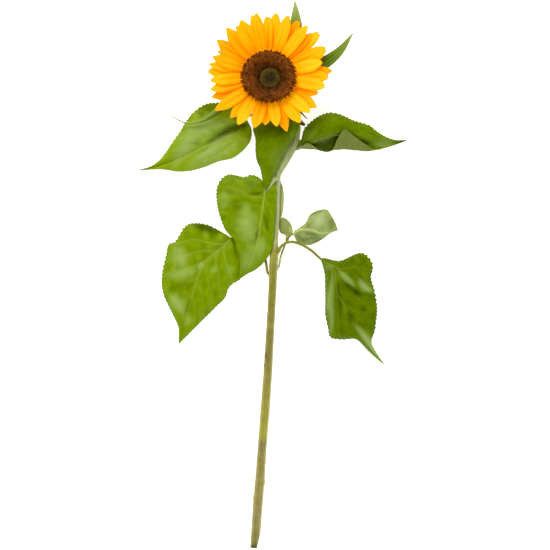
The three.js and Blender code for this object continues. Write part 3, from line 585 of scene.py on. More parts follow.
def growLeaf(node, leaf):
    leaf = {**leafGrowth, **leaf}
    grid = bladeGrid(leaf)
    ribColumn = leaf["perStrip"]
    cutTeeth(grid, leaf)
    plain = grid.copy()
    columns = np.arange(grid.shape[1])
    across = np.where(columns < ribColumn, columns / ribColumn - 1,
                      (columns - ribColumn) / (columns[-1] - ribColumn))
    shareAlong, across = np.meshgrid(np.linspace(0, 1, len(grid)), across, indexing="ij")

    # veins: the midrib, then pairs that leave it and run out towards the margin
    fromRib = distanceTo(plain, plain[::5, ribColumn])
    fromSide = np.full(fromRib.shape, np.inf)
    sideVein = np.zeros(fromRib.shape)
    outwards = np.linspace(0, 0.94, 14)
    for side in (-1, 1):
        for start, end, strength in leaf["veins"]:
            line = sampled(plain, start + (end - start) * outwards ** 0.8, side * outwards, ribColumn)
            distance = distanceTo(plain, line)
            fromSide = np.minimum(fromSide, distance)
            width = leaf["veinWidth"] * (1.1 - 0.6 * np.abs(across))
            sideVein = np.maximum(sideVein, strength * np.exp(-(distance / width) ** 2))
    midrib = np.exp(-(fromRib / (leaf["ribWidth"] * (1.15 - 0.85 * shareAlong))) ** 2)
    ribShow, sideShow = leaf["veinShow"]
    vein = np.maximum(ribShow * midrib * (1 - 0.5 * shareAlong), sideShow * sideVein)

    # the blade puffs up between its veins and ripples towards its margin
    puff = 1 - np.exp(-(np.minimum(fromRib, fromSide) / leaf["cellReach"]) ** 2)
    toEnds = np.minimum(shareAlong, 1 - shareAlong)
    inside = (np.clip((1 - np.abs(across)) / leaf["marginBand"], 0, 1)
              * np.clip(toEnds / leaf["endBand"], 0, 1))
    x, y = plain[..., 0], plain[..., 1]
    dimple = ripple(x, y, leaf["dimpleMm"], leaf["seed"])
    wave = ripple(x, y, leaf["waveMm"], leaf["seed"] + 1)
    rise = inside * (leaf["puff"] * puff * (0.55 + 0.45 * dimple) - leaf["veinSink"] * sideVein
                     - leaf["ribSink"] * midrib * (1 - shareAlong))
    grid[..., 2] += leaf["wave"] * wave * np.abs(across) ** 3 * inside ** 0.3
    # painted light: the blade is paler where it puffs up and darker in its dimples
    tone = leaf["tone"] + leaf["puffPaintedLight"] * puff * dimple * inside
    bloom = np.zeros(rise.shape)
    # each fold lifts the blade and paints light on it: above 0 a painted highlight with a pale painted gloss,
    # below 0 painted shade
    for line, halfWidth, height, shade in leaf["folds"]:
        band = foldBand(plain[..., :2], line, halfWidth)
        grid[..., 2] += height * band * np.clip(inside * 1.5, 0, 1)
        tone += (leaf["foldPaintedHighlight"] * shade if shade > 0 else shade) * band
        bloom += max(shade, 0) * band
    normals = normalsOf(grid)
    thickness = leaf["thick"] * (0.45 + 0.55 * inside)
    ridge = (leaf["ribHeight"] * midrib * (1 - 0.8 * shareAlong) + leaf["veinHeight"] * sideVein) * inside
    top = grid + normals * (thickness / 2 + rise)[..., None]
    bottom = grid - normals * (thickness / 2 - rise + ridge)[..., None]
    blade = sheetPart(top, bottom, {
        "tone": tone,
        "vein": vein,
        "bloom": bloom.clip(0, leaf["mostPaintedGloss"]),
        "margin": 0.6 * np.clip((np.abs(across) - 0.975) / 0.025, 0, 1),
    })

    # the stalk runs on under the blade and thins out into the midrib
    axis = shootAxis if node.startswith("leaf_shoot") else stemAxis
    stalkPath = [list(point) for point in rootedIn(axis, leaf["stalk"], leaf["sheath"])]
    stalkPath[-1][2] -= leaf["stalkDip"]
    for share, radius in leaf["stalkRun"]:
        x, y, z = sampled(grid, np.array([share]), np.array([0.0]), ribColumn)[0]
        stalkPath.append([x, y, z - radius - leaf["stalkGap"], radius])
    stalk = tubePart(stalkPath, leaf["stalkSides"], ribs=2, ribHeight=0.08, steps=90)
    stalk["marks"].update({"up": leaf["stalkUp"], "scar": 0.0})
    stalk["material"] = 1
    webs = [webPart(rails, leaf["tone"]) for rails in leaf["webs"]]
    makePiece(pieceName(node), [blade, stalk, *webs], [leaf["blade"], stemSkin], node)


# In each leaf, the rails run from its base to its tip: its left edge, its midrib, its right edge and, where
# the leaf doubles back, the edge of the doubled part. The camber is one height for each strip between them.
# Stalk: x, y, z, radius. Teeth: length, depth on the left edge, depth on the right edge. Folds: points along
# it, half width, lift, and painted light: above 0 a painted highlight with a pale painted gloss, below 0
# painted shade; folds with no lift only paint light or shade. veinShow: midrib, side veins.

# wide leaf at the head's left: a deep furrow beside the midrib with painted shade in it, and a pale painted
# highlight where it faces up
leafUpperLeft = {
    "base": [-31, 174.5, 15.5], "tip": [-148, 115, 1],
    "rails": [
        [[-27, 167.6, 15.5], [-23.4, 160, 15], [-24.8, 147, 14], [-41.8, 129.6, 11], [-60, 124.5, 8.5],
         [-75, 118.5, 6], [-90, 114.5, 4], [-104, 113.5, 2.5], [-123, 116, 1.2]],
        [[-38, 162, 15], [-52, 153.5, 14], [-69, 145, 12], [-91, 133.5, 8.5], [-118, 122.5, 3.5]],
        [[-34, 186, 18], [-45, 191.5, 20], [-60, 189.4, 21], [-71, 188.5, 20.5], [-79.6, 184.6, 19.5],
         [-89, 177, 18], [-97, 166, 15.5], [-103.5, 155.5, 13], [-110, 146.5, 11], [-118, 134.5, 7],
         [-125, 126, 4.5], [-134, 119.5, 2.2]],
    ],
    "camber": [2.5, 3.5],
    "stalk": [[13.2, 181.6, 8, 1.7], [8, 181.4, 9.8, 1.6], [-2, 180.8, 12.5, 1.6], [-16, 178, 15, 1.6],
              [-33, 171.6, 15.4, 1.2]],
    "tone": 0.34, "veinShow": [0.25, 0.24], "stalkUp": 0.9,
    "puff": 0.65, "wave": 1.2, "seed": 3,
    "teeth": [4.6, 0.3, 1.6],
    "folds": [
        [[[-24, 166], [-37, 163.2], [-47, 159], [-55, 154.6], [-63, 149], [-73, 144.6]], 4.8, -1.8, -1.35],
        [[[-48, 151], [-69, 140], [-86, 132]], 1.5, -0.4, -0.5],
        [[[-37, 151], [-56, 137], [-69, 129]], 1.5, -0.3, -0.4],
        [[[-75, 144], [-94, 145]], 1.6, -0.3, -0.5],
        [[[-38, 157], [-58, 148], [-71, 136], [-84, 126.5]], 3.6, 0.8, 0.45],
        [[[-48, 169], [-72, 163], [-88, 154], [-98, 138], [-108, 121]], 10, 0.5, 0.6],
        [[[-82, 176], [-70, 184], [-50, 187]], 9, 0, -0.7],
        [[[-34, 150], [-60, 136], [-92, 119]], 12, 0, 0.4],
    ],
}
growLeaf("leaf_upper_left", leafUpperLeft)

# leaf at the right whose lower half doubles back and shows its underside
leafUpperRight = {
    "base": [29.5, 141.5, 8], "tip": [147.8, 148, 1],
    "rails": [
        [[31.5, 149, 10], [34.5, 160, 12], [41, 167.5, 14], [50, 174, 15.5], [60, 178, 16],
         [70, 177.5, 16], [79, 174.5, 15], [88, 170.2, 13.5], [100, 166.6, 11.5], [107, 164.2, 10],
         [114, 158.4, 8.5], [124, 152.2, 6], [135.5, 148.2, 3]],
        [[40, 144.5, 10.5], [52, 149, 12.5], [67, 153, 13.5], [80, 154, 13.5], [96, 150.5, 11],
         [118, 147, 6]],
        [[33, 139.2, 6], [45.8, 138, 3.2], [58, 135.8, 2], [67, 137, 2.6], [78, 138, 3.2],
         [90, 137, 2.6], [102, 136, 2], [112, 137, 1.6], [126, 141, 1.2]],
        [[38, 145, 14.5], [46, 141, 9], [53, 136.8, 2], [60, 135.2, 1.4], [66, 138.5, 4.5],
         [71, 149, 15], [79, 159.5, 21.5], [91, 151.5, 15.5], [103, 143, 8.5], [113, 137.6, 3.5],
         [127, 140.4, 1.6]],
    ],
    "camber": [3, -1.5, 0],
    "stalk": [[27.4, 139, 8.6, 1.7], [29, 139.6, 8.6, 1.7], [31, 141.4, 8.7, 1.6], [34, 143, 9, 1.3]],
    "tone": -0.19, "veinShow": [0.08, 0.08], "stalkUp": 0.88,
    "puff": 0.5, "wave": 1.0, "seed": 5,
    "webs": [[[[25.5, 148.6, 8.4], [33, 148, 9.6], [41, 145, 9.4]],
              [[23.5, 137.8, 7], [33, 138.6, 5.4], [45, 138, 3]]]],
    "teeth": [4.4, 1.8, 0.3],
    "folds": [
        [[[46, 146], [68, 153]], 2.5, 0.6, 0.15],
        [[[44, 142], [62, 146], [79, 156]], 4, -0.8, -1.2],
        [[[42, 141], [56, 139], [74, 141]], 7, 0, -1.8],
        [[[96, 147], [108, 144]], 3.5, -0.4, -0.5],
        [[[112, 143], [134, 144]], 5, 0, 0.4],
        [[[32, 150], [48, 160]], 6, 0, 0.2],
    ],
}
growLeaf("leaf_upper_right", leafUpperRight)

# shaded leaf that hangs in front of the neck
leafFrontUpper = {
    "base": [15, 172.5, 20], "tip": [-8.6, 92.4, 23],
    "rails": [
        [[23, 170.5, 21.4], [29.4, 163.6, 19.8], [26.8, 156, 18.4], [22.6, 150, 17.4],
         [17.8, 143.4, 16.6], [12, 132.6, 16.4], [6.6, 120.4, 16.8], [1.2, 108.6, 18.6], [-4, 97.5, 22.4]],
        [[8, 159, 25], [1, 142, 26], [-4, 124, 25.5], [-7, 107, 24.4]],
        [[5, 177, 22], [-9, 175, 23], [-19, 168, 22.5], [-21.6, 160, 21.5], [-19.1, 150, 20.5],
         [-18.9, 134, 19], [-17.4, 125, 18.8], [-13.8, 116.5, 19.5], [-11.3, 104, 21.5]],
    ],
    "camber": [2, 2.5],
    "stalk": [[24.8, 169.5, 11.9, 2], [24.4, 170.5, 15, 1.9], [21, 172.2, 18.5, 1.8], [14, 172, 20.2, 1.4]],
    "tone": -0.2, "veinShow": [0.03, 0.02], "stalkUp": 0.9,
    "puff": 0.2, "wave": 0.5, "seed": 8,
    "teeth": [5, 0.3, 0.3],
    "folds": [
        [[[4, 142], [0, 118]], 7, 0.3, 0.12],
        # painted shadow of the head across the top of the leaf
        [[[-12, 160], [18, 160]], 9, 0, -0.45],
    ],
}
growLeaf("leaf_front_upper", leafFrontUpper)

# heart-shaped leaf over the stem, on a short stalk
leafMiddle = {
    "base": [-8.8, 92.3, 19], "tip": [-37, -5, 8],
    "rails": [
        [[-3, 98.2, 19], [1.4, 100.4, 18.4], [3.9, 94, 18.4], [3.9, 80, 18.6], [2.8, 62, 18.4],
         [0.4, 37, 17], [-2.1, 25, 16.5], [-8.5, 15.2, 14.5], [-18, 6.1, 11.5], [-28.2, 0.6, 9.5]],
        [[-10.5, 79, 19.6], [-13, 60, 19.6], [-16, 40, 18], [-21.5, 20, 15]],
        [[-9.8, 97, 18], [-12.4, 104.6, 16], [-23, 109.8, 14], [-32, 107.4, 13.5], [-40, 109.4, 12.5],
         [-49, 110.3, 11.5], [-56.5, 105.5, 10.5], [-61, 97, 10.5], [-62.2, 87.5, 10.5], [-61, 75.5, 11],
         [-57.5, 62, 11.5], [-52.2, 49.5, 12.5], [-43, 38.5, 13.5], [-40, 27, 12.5], [-36.6, 14, 11]],
    ],
    "camber": [1.5, 4],
    "stalk": [[3.2, 105.6, 16, 2], [1.2, 103.6, 18.2, 2], [-3, 98, 20, 2], [-9.6, 88.5, 19.8, 1.5]],
    "tone": 0.08, "veinShow": [0.8, 0.24], "stalkUp": 0.82,
    "puff": 0.6, "wave": 1.1, "seed": 12,
    "teeth": [4.2, 0.3, 2.0],
    "folds": [
        [[[-30, 76], [-28, 56], [-25, 34]], 10, 0.3, 0.6],
        [[[-11, 42], [-14.4, 20]], 5, 0.3, 0.5],
        [[[-15, 52], [-19, 37]], 1.8, -0.6, -0.8],
        [[[-8, 68], [-5.5, 48]], 3, -0.3, -0.5],
        [[[-9, 91], [-18, 88.6], [-29, 88.4]], 1.7, -0.6, -0.6],
        [[[-14, 98], [-27, 98]], 6, 0, -0.3],
        [[[-53, 92], [-55, 72]], 6, 0, 0.3],
        [[[-17, 34], [-34, 4]], 8, 0, 0.4],
        [[[-40, 84], [-39, 68]], 6, 0, -0.3],
    ],
}
growLeaf("leaf_middle", leafMiddle)

# largest leaf, strongly puffed between its veins
leafLowerLeft = {
    "base": [-46, 40, 6.5], "tip": [-103.4, -76, 1],
    "rails": [
        [[-41.5, 37.5, 6], [-39.5, 32, 5.5], [-34.5, 20, 5], [-33, 7, 5], [-36, -5, 4.5],
         [-43.6, -9.8, 4], [-48.6, -15, 4], [-52.6, -25.5, 3.5], [-61.5, -34.5, 3], [-70.5, -43.5, 2.4],
         [-80.5, -53.4, 1.8], [-97, -70, 1.1]],
        [[-59, 28, 8], [-73, 16, 9], [-83, -4, 8], [-92.5, -38, 4.5]],
        [[-50, 43.2, 6.5], [-59, 48.6, 8.5], [-70, 54.2, 11], [-80.5, 56.6, 12], [-91.5, 56, 11.5],
         [-98, 51.5, 10], [-103, 43, 8], [-108, 36, 6.5], [-114.5, 33.5, 5], [-117.5, 21, 4],
         [-121.5, 3, 2.6], [-122.3, -10.5, 2], [-119.6, -23.8, 1.5], [-115.2, -33.4, 1.2],
         [-109.8, -44.6, 1], [-104, -57.5, 1]],
    ],
    "camber": [3, 3.5],
    "stalk": [[-6, 3, 10, 1.1], [-6.5, 7, 10, 1.3], [-7.6, 14, 9.8, 1.3], [-10, 21, 8.4, 1.5],
              [-20, 32, 7, 1.6], [-35, 39.5, 6.4, 1.6], [-47.5, 39, 6.6, 1.2]],
    "tone": 0.17, "veinShow": [0.6, 0.46], "stalkUp": 0.54, "sheath": 8,
    "puff": 0.9, "wave": 1.3, "seed": 17,
    "teeth": [4.4, 0.8, 2.0],
    "folds": [
        [[[-90, 56], [-56, 46]], 5, -0.5, -0.9],
        [[[-106, 31], [-102, 18], [-98, 8]], 7.5, 0.3, 0.7],
        [[[-116, -1], [-100, 1], [-84, 6]], 6, 0.3, 0.55],
        [[[-81, 6], [-77, 14]], 2.6, 0.5, 0.9],
        [[[-64, 10], [-66, 2]], 4, 0.2, 0.4],
        [[[-47, 12], [-48, 0]], 5, 0, 0.3],
        [[[-117, -16], [-87, -10]], 6, -0.3, -0.25],
        [[[-113, -22], [-105, -31], [-98, -43]], 6, 0.3, 0.7],
        [[[-90, -26], [-98, -46]], 3, 0, -0.3],
        [[[-91, -44], [-96, -56]], 5, 0, 0.3],
    ],
}
growLeaf("leaf_lower_left", leafLowerLeft)

# dark leaf on a long arching stalk, folded along both sides, with a twisted tip
leafLowerRight = {
    "base": [53.4, 17.6, 9.5], "tip": [123, -99, 1],
    "rails": [
        [[58, 18.2, 10], [68, 15.7, 11], [76.5, 15.9, 11], [84, 19.5, 10.5], [96.4, 24, 9],
         [103.6, 21.2, 8], [109.6, 12.4, 6.5], [109.9, 4.5, 5], [108.1, -2, 5], [112.1, -18, 5],
         [115, -36.5, 4], [114.4, -46, 3.2], [112.2, -62, 2.6], [108.8, -74, 2.4], [115, -87, 1.4]],
        [[67, 7.5, 12], [70.5, -19, 12.5], [79, -34.5, 11], [87, -50.5, 9], [93.5, -66, 6], [106, -82, 3]],
        [[54.3, 12, 8], [56.8, 2, 5], [57.6, -15.5, 2.4], [57.7, -31.5, 1.4], [57.7, -44, 1.2],
         [60.8, -58.8, 1.2], [63.6, -69, 1.2], [76.5, -71.4, 1.6], [91.5, -71.1, 3.4],
         [104.6, -83.6, 1.6], [113.8, -92, 1.2]],
    ],
    "camber": [2.5, 5],
    "stalk": [[6.4, 25.2, 14.4, 1.5], [8.8, 30.4, 16.2, 1.5], [14, 34.7, 17.2, 1.5], [22, 36, 17, 1.5],
              [32.6, 32.6, 15.6, 1.5], [42.4, 26.5, 13, 1.5], [50, 19.8, 10.2, 1.5], [55.6, 14.6, 9.8, 1.1]],
    "tone": -0.33, "veinShow": [0.3, 0.24], "stalkUp": 0.57,
    "puff": 0.6, "wave": 0.9, "seed": 23,
    "teeth": [4.6, 2.3, 2.2],
    "folds": [
        [[[66.6, 2], [64.5, -15.7], [63.1, -29.4], [65.2, -50], [64.6, -66]], 3.2, 1.4, 0.6],
        [[[71.4, -8.8], [72.8, -25.3], [74.1, -46]], 3, -0.9, -0.5],
        [[[72, 4], [80, -3], [90, -12]], 2.8, 1.2, 0.8],
        [[[94.8, -4.7], [100, -12.6], [110, -19]], 3.8, 0.5, 0.85],
        [[[75.5, -6], [90.6, -18.4], [101.6, -23.9]], 3, -1, -0.6],
        [[[82.4, -39], [87.9, -52.8]], 2.5, -0.8, -0.6],
        [[[91.7, -56.9], [101.6, -69.3], [112.6, -84.5], [124, -100]], 4.4, 0.4, 1.1],
        [[[58, 14], [64, 4]], 5, 0, 0.3],
    ],
}
growLeaf("leaf_lower_right", leafLowerRight)

youngGrowth = {"blade": youngLeafBlade, "slot": "leaf_pale", "rows": 90, "perStrip": 20, "thick": 0.45}

# small round leaf of the side shoot
leafShootLeft = {
    **youngGrowth,
    "base": [16.2, 44.6, 10.6], "tip": [10.4, 63.2, 6.5],
    "rails": [
        [[12.2, 44.4, 8], [8, 46.8, 5.4], [6.6, 55, 4.6], [7.4, 60.8, 5.4]],
        [[15, 50, 9.8], [13.4, 56, 8.8], [12.2, 61, 7.6]],
        [[20, 44.4, 10.6], [22, 48.6, 10.4], [20.4, 55, 9.4], [17, 59.8, 8.4], [13.6, 62.2, 7.2]],
    ],
    "camber": [0.8, 1],
    "stalk": [[16.4, 42, 10.8, 1.1], [16.3, 43.4, 10.8, 1.1], [16.1, 45, 10.7, 1.1], [15.4, 49, 10.2, 0.9]],
    "tone": -0.1, "veinShow": [0.3, 0.12], "stalkUp": 0.6,
    "puff": 0.2, "wave": 0.3, "seed": 31,
    "webs": [[[[12.4, 44.8, 9], [14.4, 42.4, 10.4], [15.8, 38.5, 11.6]],
              [[20.4, 44.8, 11.2], [18.4, 42.4, 11.6], [16.8, 38.5, 11.6]]]],
    "teeth": [5, 0.1, 0.1],
    "folds": [
        [[[19, 46], [21, 54]], 2, 0, 0.6],
    ],
}
growLeaf("leaf_shoot_left", leafShootLeft)

# pale young leaf of the side shoot, folded along its yellow midrib
leafShootRight = {
    **youngGrowth,
    "base": [22, 44.8, 12.4], "tip": [71.9, 49, 8],
    "rails": [
        [[25, 48.6, 13], [31, 53, 12.4], [36.4, 57.4, 11.6], [41, 66, 10.6], [50, 70.8, 10],
         [59.6, 71.6, 9.4], [64.2, 65.6, 9], [68.6, 57.8, 8.6]],
        [[27.4, 48.6, 14.4], [34.5, 50, 15], [43.4, 49, 14.8], [52.5, 45.8, 13], [62, 46.4, 10.4]],
        [[23.7, 42.2, 11.4], [26.8, 36.6, 9.6], [38.8, 32.5, 8.4], [46.8, 34.7, 8], [56.6, 40.3, 8],
         [64.2, 46, 8]],
    ],
    "camber": [1.6, 0.6],
    "stalk": [[17.6, 41.6, 12.6, 1.1], [19.6, 43.4, 12.8, 1.1], [23.6, 45.4, 12.8, 0.9]],
    "tone": 0.1, "veinShow": [1.0, 0.16], "stalkUp": 0.6,
    "puff": 0.35, "wave": 0.5, "seed": 33,
    "teeth": [4.5, 0.5, 0.2],
    "folds": [
        [[[45, 62], [57, 57]], 8, 0.4, 0.7],
        [[[37, 64], [44, 69], [56, 71.5]], 3, 0, -0.9],
        [[[36, 52], [42, 56]], 3, -0.2, -0.6],
        [[[26, 46], [30, 41], [37, 36]], 1.4, -0.3, -0.8],
        [[[43, 36], [55, 40]], 1.8, -0.2, -0.8],
        [[[66, 64], [64, 50]], 4, -0.3, -0.8],
        [[[34, 46], [50, 43]], 1.7, -0.4, -1.0],
        [[[32, 38], [42, 40], [54, 42]], 1.4, -0.3, -0.9],
    ],
}
growLeaf("leaf_shoot_right", leafShootRight)

# small leaf half under the stem
leafBehindStem = {
    **youngGrowth,
    "base": [8.8, 100.5, 4.6], "tip": [7.6, 60.5, 3.4],
    "rails": [
        [[11.2, 96, 4.6], [12.3, 88, 4.4], [12.1, 78, 4.2], [10.4, 67, 3.8]],
        [[8.6, 90, 3.6], [7.6, 80, 3.2], [7.6, 70, 3.2]],
        [[4.4, 96, 3.8], [1.6, 88, 3.2], [1.8, 78, 3], [4.6, 67, 3.2]],
    ],
    "camber": [0.6, 0.6],
    "stalk": [[7, 105.4, 5.7, 1.2], [7.5, 104, 5, 1.2], [8.4, 98.4, 4.5, 0.9]],
    # its tone is raised and a pale painted gloss laid along it, painted light against the stem's shadow
    "tone": 0.4, "veinShow": [0.2, 0.08], "stalkUp": 0.8,
    "puff": 0.2, "wave": 0.2, "seed": 37,
    "teeth": [5, 0.1, 0.1],
    "folds": [[[[9.5, 98], [10.4, 66]], 6, 0, 0.5]],
}
growLeaf("leaf_behind_stem", leafBehindStem)

print("leaves grown")


# Ray floret, the yellow petal: a thin strap of pigment-filled cells with a satin skin. It grew pleated in the
# bud, so the eye gets fine lengthwise streaks and lemon towards the tip. The deeper orange in the pleats is
# painted shade, and a faint painted glow stands in for light passing through neighbouring petals.
def strapMaterial(name, look):
    material, tree = newMaterial(name)
    tone, margin, underside, across, along, own = (
        addNode(tree, "Attribute", output="Fac", attribute_name=mark)
        for mark in ("tone", "margin", "underside", "acrossMm", "alongMm", "own"))
    streakSide = addNode(tree, "Math", {0: across, 1: 1 / look["streakMm"]}, operation="MULTIPLY")
    streakLong = addNode(tree, "Math", {0: along, 1: 1 / look["streakRunMm"]}, operation="MULTIPLY")
    place = addNode(tree, "CombineXYZ", {0: streakSide, 1: streakLong, 2: own})
    streak = addNode(tree, "TexNoise", {"Vector": place, "Scale": 1.0, "Detail": 3.0})
    centred = addNode(tree, "Math", {0: streak, 1: 0.5}, operation="SUBTRACT")
    scaled = addNode(tree, "Math", {0: centred, 1: look["streak"]}, operation="MULTIPLY")
    toned = addNode(tree, "Math", {0: tone, 1: scaled}, operation="ADD")
    whole = addNode(tree, "ValToRGB", {"Fac": toned}, stops=look["tones"])
    for share, layer in ((margin, "edge"), (underside, "back")):
        whole = addNode(tree, "Mix", {0: share, 6: whole, 7: colour(look[layer])}, output=2, data_type="RGBA")
    bump = addNode(tree, "Bump", {"Height": streak, "Strength": 0.5, "Distance": 0.25 * mm})
    # the emission is a painted glow in the strap's own colour, standing in for light passing through
    # neighbouring petals
    skin = addNode(tree, "BsdfPrincipled", {
        "Base Color": whole, "Roughness": look["roughness"], "Normal": bump, "IOR": 1.4,
        "Specular IOR Level": look["shine"], "Emission Color": whole, "Emission Strength": look["through"],
        "Subsurface Weight": look["glow"], "Subsurface Radius": (1.0, 0.5, 0.05),
        "Subsurface Scale": 0.8 * mm, "Sheen Weight": look["sheen"], "Sheen Roughness": 0.5,
        "Sheen Tint": colour(look["sheenTint"])})
    addNode(tree, "OutputMaterial", {"Surface": skin})
    return material


rayPetal = strapMaterial("rayPetalSatin", {
    "tones": [(0.0, "#e07c04"), (0.25, "#ec8f06"), (0.5, "#f2a10b"), (0.75, "#f4ad12"), (1.0, "#f6bc1b")],
    "streakMm": 0.8, "streakRunMm": 22.0, "streak": 0.38,
    "edge": "#9c8c34", "back": "#f2ab08",
    "roughness": 0.6, "shine": 0.2, "glow": 0.12, "sheen": 0.02, "sheenTint": "#fff0b0",
    "through": 0.27,  # painted glow: an emission that stands in for the light that reaches the eye through neighbouring petals
})

petals = {
    # direction of the tip in degrees, reach, half width, whorl, sideways bend, lift, how blunt the tip is,
    # yellow (0 deep orange, 1 lemon; set deeper on back petals that face away, partly painted shade), notch
    # in the tip
    "each": [
        [104, 69.5, 7.2, 0, 1.2, 1, 1, 0.5, 2.2], [91, 65, 5.6, 1, 0, 0, 0.8, 0.45, 1.6],
        [83, 69, 6.6, 2, 0, 2, 0.5, 0.6, 1.2], [71, 69, 6.3, 0, -1, -1, 0.5, 0.6, 0.8],
        [61, 68, 6.4, 2, 0, 0, 0.6, 0.3, 0.6], [52.5, 69, 6.3, 0, 0.5, 1, 0.3, 0.7, 0.4],
        [45, 66, 5.4, 1, 0, 0, 0, 0.3, 0], [40, 72.5, 7, 2, 0, 1, 0.7, 0.6, 1.6],
        [23.4, 69.5, 8, 1, -2, -1, 0.6, 0.55, 1.0], [13, 61, 6.8, 0, -1, 0, 0.2, 0.75, 1],
        [5, 70, 6.2, 2, 1, 1, 0.3, 0.4, 0.6], [358.5, 66, 7, 1, 0, -1, 0.5, 0.6, 1],
        [349, 63, 7.2, 0, 0, 0, 0.5, 0.68, 0.8], [338, 58, 6.6, 2, -2, -1, 0.2, 0.5, 1.2],
        [324, 63.5, 7.2, 1, -2.4, 1, 0, 0.4, 0.6], [317, 61, 6.6, 0, -1, 0, 0.2, 0.75, 1.2],
        [303, 63, 7.2, 1, -1, -1, 0.1, 0.7, 1.2], [288, 65, 6.4, 2, 0, 1, 0, 0.28, 0],
        [279, 57, 6.4, 0, 0, -1, 0.1, 0.65, 0.9], [266, 55, 6.8, 2, 0, 0, 0.1, 0.45, 1.2],
        [256, 60, 7, 0, 1.5, -1, 0.1, 0.42, 0.8], [237, 64, 6.6, 0, -1, 0, 0.2, 0.65, 0.6],
        [228, 63, 6, 1, 0, 1, 0.1, 0.45, 1], [214, 71, 6.6, 0, 1, -1, 0, 0.5, 0],
        [207, 67, 7.4, 2, 7, 0, 0, 0.36, 0], [194, 65.6, 6.2, 1, 0, 1, 0.3, 0.48, 0.8],
        [185, 64, 6.3, 0, 0, 0, 0.3, 0.58, 0.6], [176, 67, 6.8, 2, 0, 1, 0.4, 0.58, 1.2],
        [169.4, 66.4, 5.6, 1, 0, 0, 0.3, 0.55, 0.8], [163.4, 65, 6.8, 0, 2, -1, 0.1, 0.42, 0],
        [149, 69, 8, 2, 4, 0, 0, 0.36, 0.5], [134.5, 70, 8, 1, 3.5, 0, 0, 0.4, 0],
        [118.5, 68, 8.2, 2, 2, 1, 0.2, 0.5, 0.8], [20.5, 65, 4.2, 2, 0, 0, 0.6, 0.5, 0.8],
        [154.5, 62, 4.4, 1, 0, 0, 0.3, 0.38, 0.4], [124, 65, 5, 0, 1, 0, 0.3, 0.45, 0.4],
    ],
    "whorlBase": [42.2, 40.7, 39.2],
    "whorlSlope": [0.12, 0.07, 0.02],  # rise outwards, mm for each mm
    "gap": 0.3,  # from the receptacle's side to the petal's root
    "rows": 44, "columns": 18,
    # the outline: share of the width at the root, shares of the length where it is full and where it starts
    # to close, how far and how fast it closes, and its ruffle
    "narrow": 0.55, "fullAt": 0.4, "closesAt": 0.62,
    "closes": 0.94, "bluntOpens": 0.36, "closeCurve": 1.7,
    "ruffle": 0.035,
    "notchWidth": 0.36, "notchAside": 0.4,
    # the last value paints the pleats' troughs deeper orange, a painted shade
    "pleats": 2.5, "pleatsVary": 0.5, "pleatDepth": 0.3, "pleatPaintedShade": 0.24,
    "hollow": 0.5, "roll": 0.16, "wave": 0.45, "tipWave": 0.5,  # mm of its slow bends
    "thick": 0.42, "edgeBand": 0.2, "edgeThick": 0.4, "tipThins": 0.6,
    "paler": 0.34, "palerFrom": 0.45, "toneWave": 0.06,
}


def openPetal(number, row):
    # the sines of its number give each petal its own phases
    direction, reach, halfWidth, whorl, bend, lift, blunt, yellow, notch = row
    angle = math.radians(direction)
    root = head["rimRadius"] + petals["gap"]
    along, across = gridOfShares(petals["rows"], petals["columns"])
    closing = ((along - petals["closesAt"]) / (1 - petals["closesAt"])).clip(0)
    outline = petals["narrow"] + (1 - petals["narrow"]) * np.sin(
        math.pi / 2 * (along / petals["fullAt"]).clip(0, 1))
    closes = petals["closes"] - petals["bluntOpens"] * blunt
    outline = outline * (1 - closes * closing ** (petals["closeCurve"] + blunt))
    outline += petals["ruffle"] * np.sin(along * 9 + number) * np.sign(across) * along * (1 - along)
    aside = petals["notchAside"] * math.sin(number * 4.3)
    split = np.exp(-((across - aside) / petals["notchWidth"]) ** 2) * closing ** 3
    radius = root + (reach - root) * along - notch * split
    sideways = across * halfWidth * outline + bend * along ** 2
    pleats = petals["pleats"] + petals["pleatsVary"] * math.sin(number * 2.3)
    pleat = 0.5 + 0.5 * np.cos(across * math.pi * pleats + 0.6 * math.sin(number * 5.1))
    fade = np.sin(math.pi * along ** 0.8) ** 0.6
    height = petals["whorlBase"][whorl] + petals["whorlSlope"][whorl] * (radius - root)
    height += lift * along ** 3 + petals["hollow"] * (1 - along) * across ** 2
    height += petals["roll"] * math.sin(direction) * along ** 2 * sideways
    height -= petals["pleatDepth"] * pleat * fade
    height += petals["wave"] * np.sin(along * 5.2 + number * 1.7) * across * along
    height += petals["tipWave"] * closing ** 2 * math.cos(number * 2.9)
    x = headX + math.cos(angle) * radius + math.sin(angle) * sideways
    y = headY + math.sin(angle) * radius - math.cos(angle) * sideways
    inwards = ((1 - np.abs(across)) / petals["edgeBand"]).clip(0, 1)
    thickness = petals["thick"] * (
        petals["edgeThick"] + (1 - petals["edgeThick"]) * inwards * (1 - closing * petals["tipThins"]))
    # the tone darkens in the pleats' troughs, a painted shade, and is set lower on back petals that face
    # away, partly painted shade
    sheet = thickened(np.stack([x, y, height], axis=-1), thickness, {
        "tone": (yellow + petals["paler"] * (along - petals["palerFrom"]) - petals["pleatPaintedShade"] * pleat * fade
                 + petals["toneWave"] * np.sin(along * 7 + number)),
        "margin": 0.6 * closing ** 2 * (np.abs(across) > 0.85) + 0.55 * (along > 0.97),
        "acrossMm": across * halfWidth,
        "alongMm": radius,
        "own": np.full(along.shape, number * 3.7),
    })
    makePiece(f"rayPetal{number:02d}", [sheet], [rayPetal], f"petal_{number:02d}")


for number, row in enumerate(petals["each"], start=1):
    openPetal(number, row)
print("petals opened:", len(petals["each"]))


